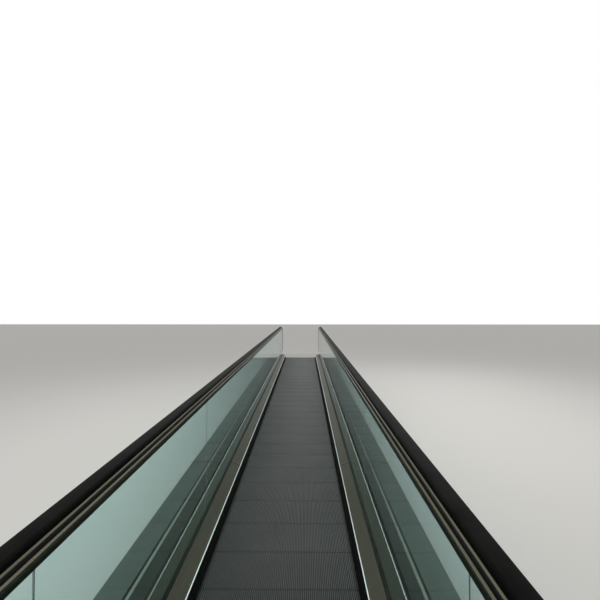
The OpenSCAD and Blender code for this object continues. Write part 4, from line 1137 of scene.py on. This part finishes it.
def drive_chain(x0, x1, pinion):
    """The drive's roller chain: side plates in turn, and a pin and a roller at each pitch."""
    wheel_r, pinion_r, links = 197 * MM, 67 * MM, 96
    spots, heading, pitch = belt_places([WHEEL_Y, WHEEL_Z], wheel_r, pinion, pinion_r, links)
    shifts = laid(spots, 0, 0)
    plates = side_plates(x0, x1, 2.4 * MM, 0.3 * MM, pitch, 9 * MM, 6.5 * MM, 5, shifts, about_x(heading))
    roller = lathe([[x0 + 5 * MM, 7 * MM], [x1 - 5 * MM, 7 * MM]], segments=12)
    pin = lathe([[x0 - 1 * MM, 3.5 * MM], [x1 + 1 * MM, 3.5 * MM]], segments=8)
    return joined(plates + [copies(joined([roller, pin]), shifts)])


def gearbox(x0, x1, y, z, bed):
    """Foot, housing and parting flange with rounded corners, a round cover on each side, and bolts."""
    foot_t, side, half, body, flange = 26 * MM, 12 * MM, 130 * MM, 120 * MM, 127 * MM
    parts = [block([x0 + side, y - body, bed + foot_t], [x1 - side, y + body, z + half], 6 * MM, 0, 22 * MM),
             block([x0, y - half, bed], [x1, y + half, bed + foot_t], 3 * MM, corner=8 * MM),
             block([x0 + 4 * MM, y - flange, z - 9 * MM], [x1 - 4 * MM, y + flange, z + 9 * MM], 2 * MM,
                   corner=10 * MM)]
    profile = np.array([[-2, 88], [6, 88], [9, 84], [9, 62], [14, 58], [14, 30]]) * MM
    rim = circle(0, 315, 8, 74 * MM) + [y, z]
    for x, sign in ((x0 + side, -1), (x1 - side, 1)):
        parts.append(lathe(profile * [sign, 1], [x, y, z], 0, 40))
        parts.append(copies(hex_bolt(5.5 * MM, 4 * MM, 0, sign), laid(rim, x + sign * 9 * MM, 0)))
    bolt_x, bolt_y = 30 * MM, 118 * MM
    bolts = [[x, y + away, bed + foot_t] for x in (x0 + bolt_x, x1 - bolt_x) for away in (-bolt_y, bolt_y)]
    return parts + [copies(hex_bolt(9 * MM, 7 * MM, 2), bolts)]


def motor(x, y, z, bed):
    """A finned shell with a fan cowl and a flange, turned along X, with its terminal box and two feet."""
    shell = [[22, 94], [30, 94], [30, 86], [215, 86], [215, 100], [232, 100], [236, 106], [290, 106],
             [298, 98], [300, 30]]
    flange = [[0, 108], [12, 108], [14, 100], [22, 94]]
    parts = [lathe(np.array(profile) * [-MM, MM], [x, y, z], 0, 48) for profile in (shell, flange)]
    fin = block([-212 * MM, 80 * MM, -1.5 * MM], [-34 * MM, 109 * MM, 1.5 * MM], 0.5 * MM)
    fins, box_gap = 32, 0.5
    angle = np.arange(fins) * 2 * np.pi / fins
    angle = angle[np.abs((angle - np.pi / 2 + np.pi) % (2 * np.pi) - np.pi) > box_gap]
    parts.append(copies(fin, np.tile([x, y, z], (len(angle), 1)), about_x(angle)))
    box_low, box_high = (np.array(corner) * MM + [x, y, z] for corner in ([-190, -55, 80], [-70, 55, 140]))
    parts.append(block(box_low, box_high, 4 * MM, corner=8 * MM))
    foot_x, foot_l, foot_y, foot_w, foot_z = 200 * MM, 150 * MM, 75 * MM, 40 * MM, 60 * MM
    for low_y in (y - foot_y - foot_w / 2, y + foot_y - foot_w / 2):
        low, high = [x - foot_x, low_y, bed], [x - foot_x + foot_l, low_y + foot_w, z - foot_z]
        parts.append(block(low, high, 3 * MM))
    return parts


def drive():
    """A bed with gearbox and motor under the far landing, and the chain from the pinion to the shaft."""
    end, chord, bed_t, motor_l, half = TRUSS_HIGH[1], 80 * MM, 20 * MM, 300 * MM, 130 * MM
    x0, x1, y, z = 0.19, 0.47, end - 0.33, WHEEL_Z - 0.06
    low = TRUSS_LOW[2] + chord
    bed = low + bed_t
    base = block([x0 - motor_l, y - half, low], [x1, end - chord / 2, bed], 2 * MM, corner=6 * MM)
    parts = [base] + gearbox(x0, x1, y, z, bed) + motor(x0, y, z, bed)
    piece("fine_drive_unit", joined(parts), "drive_paint", "drive_unit")
    chain_high = node_box("drive_unit")[1][0]
    chain_low = chain_high - 30 * MM
    a, b = chain_low / MM, chain_high / MM
    pinion = lathe(np.array([[x1 / MM, 30], [a - 12, 30], [a - 12, 45], [a + 2, 45], [a + 6, 57], [b - 6, 57],
                             [b - 2, 40], [b, 40]]) * MM, [0, y, z], 0, 36)
    loop = drive_chain(chain_low + 1 * MM, chain_high - 1 * MM, [y, z])
    piece("fine_drive_chain", joined([loop, pinion]), "chain", "drive_unit")


for make in (band, chain, strips, brushes, inner_decks, outer_decks, joint_covers, gaskets, panes, guides,
             handrails, inlets, combs, landings, gussets, foot_nuts, carriers, drive):
    make()

# Finishes of the nodes that keep their own shape
SLOT_OF = {row["node"]: row["material_slot"] for row in frame["record"]["subparts"]}
for node_name, node_object in frame["nodes"].items():
    node_object.data.materials.clear()
    node_object.data.materials.append(FINISH[SLOT_OF[node_name]])


# Floor, light and camera


def studio():
    """A pale floor, a white surround and broad soft lamps overhead."""
    half = 60.0
    mesh = bpy.data.meshes.new("floor")
    mesh.from_pydata([(*corner, 0) for corner in rectangle(-half, -half, half, half)], [], [(0, 1, 2, 3)])
    mesh.materials.append(finish("floor", lambda tree: (linear(222, 220, 215), 0.9, None)))
    floor = bpy.data.objects.new("floor", mesh)
    bpy.context.scene.collection.objects.link(floor)

    world = bpy.data.worlds.new("surround")
    bpy.context.scene.world = world
    world.use_nodes = True
    tree = world.node_tree
    path = tree.nodes.new("ShaderNodeLightPath").outputs
    seen = maths(tree, "MAXIMUM", path["Is Camera Ray"], path["Is Glossy Ray"])
    seen = maths(tree, "MAXIMUM", seen, path["Is Transmission Ray"])
    back = tree.nodes["Background"]
    back.inputs["Color"].default_value = (1, 1, 1, 1)
    tree.links.new(between(tree, seen, 0.5, 1.0), back.inputs["Strength"])

    lamps = [((-3.0, -2.0, 7.0), (8.0, 18.0), 300.0), ((5.0, 4.0, 6.0), (5.0, 14.0), 200.0)]
    for number, (place, size, power) in enumerate(lamps):
        data = bpy.data.lights.new(f"lamp_{number}", "AREA")
        data.shape = "RECTANGLE"
        data.size, data.size_y = size
        data.energy = power
        lamp = bpy.data.objects.new(f"lamp_{number}", data)
        lamp.location = place
        bpy.context.scene.collection.objects.link(lamp)
        lamp.visible_camera = False


def camera():
    """The view of somebody who stands on the near landing, a little right of the middle."""
    data = bpy.data.cameras.new("camera")
    focal_px, frame_px = 445.0, 600.0
    data.sensor_width = 36.0
    data.lens = data.sensor_width * focal_px / frame_px
    data.clip_end = 200.0
    eye = bpy.data.objects.new("camera", data)
    bpy.context.scene.collection.objects.link(eye)
    eye.location = (0.152, -7.85, DECK + 1.665)
    eye.rotation_euler = (math.radians(90 + 0.89), 0, math.radians(0.64))
    bpy.context.scene.camera = eye


studio()
camera()
bpy.context.scene.view_settings.view_transform = "Standard"
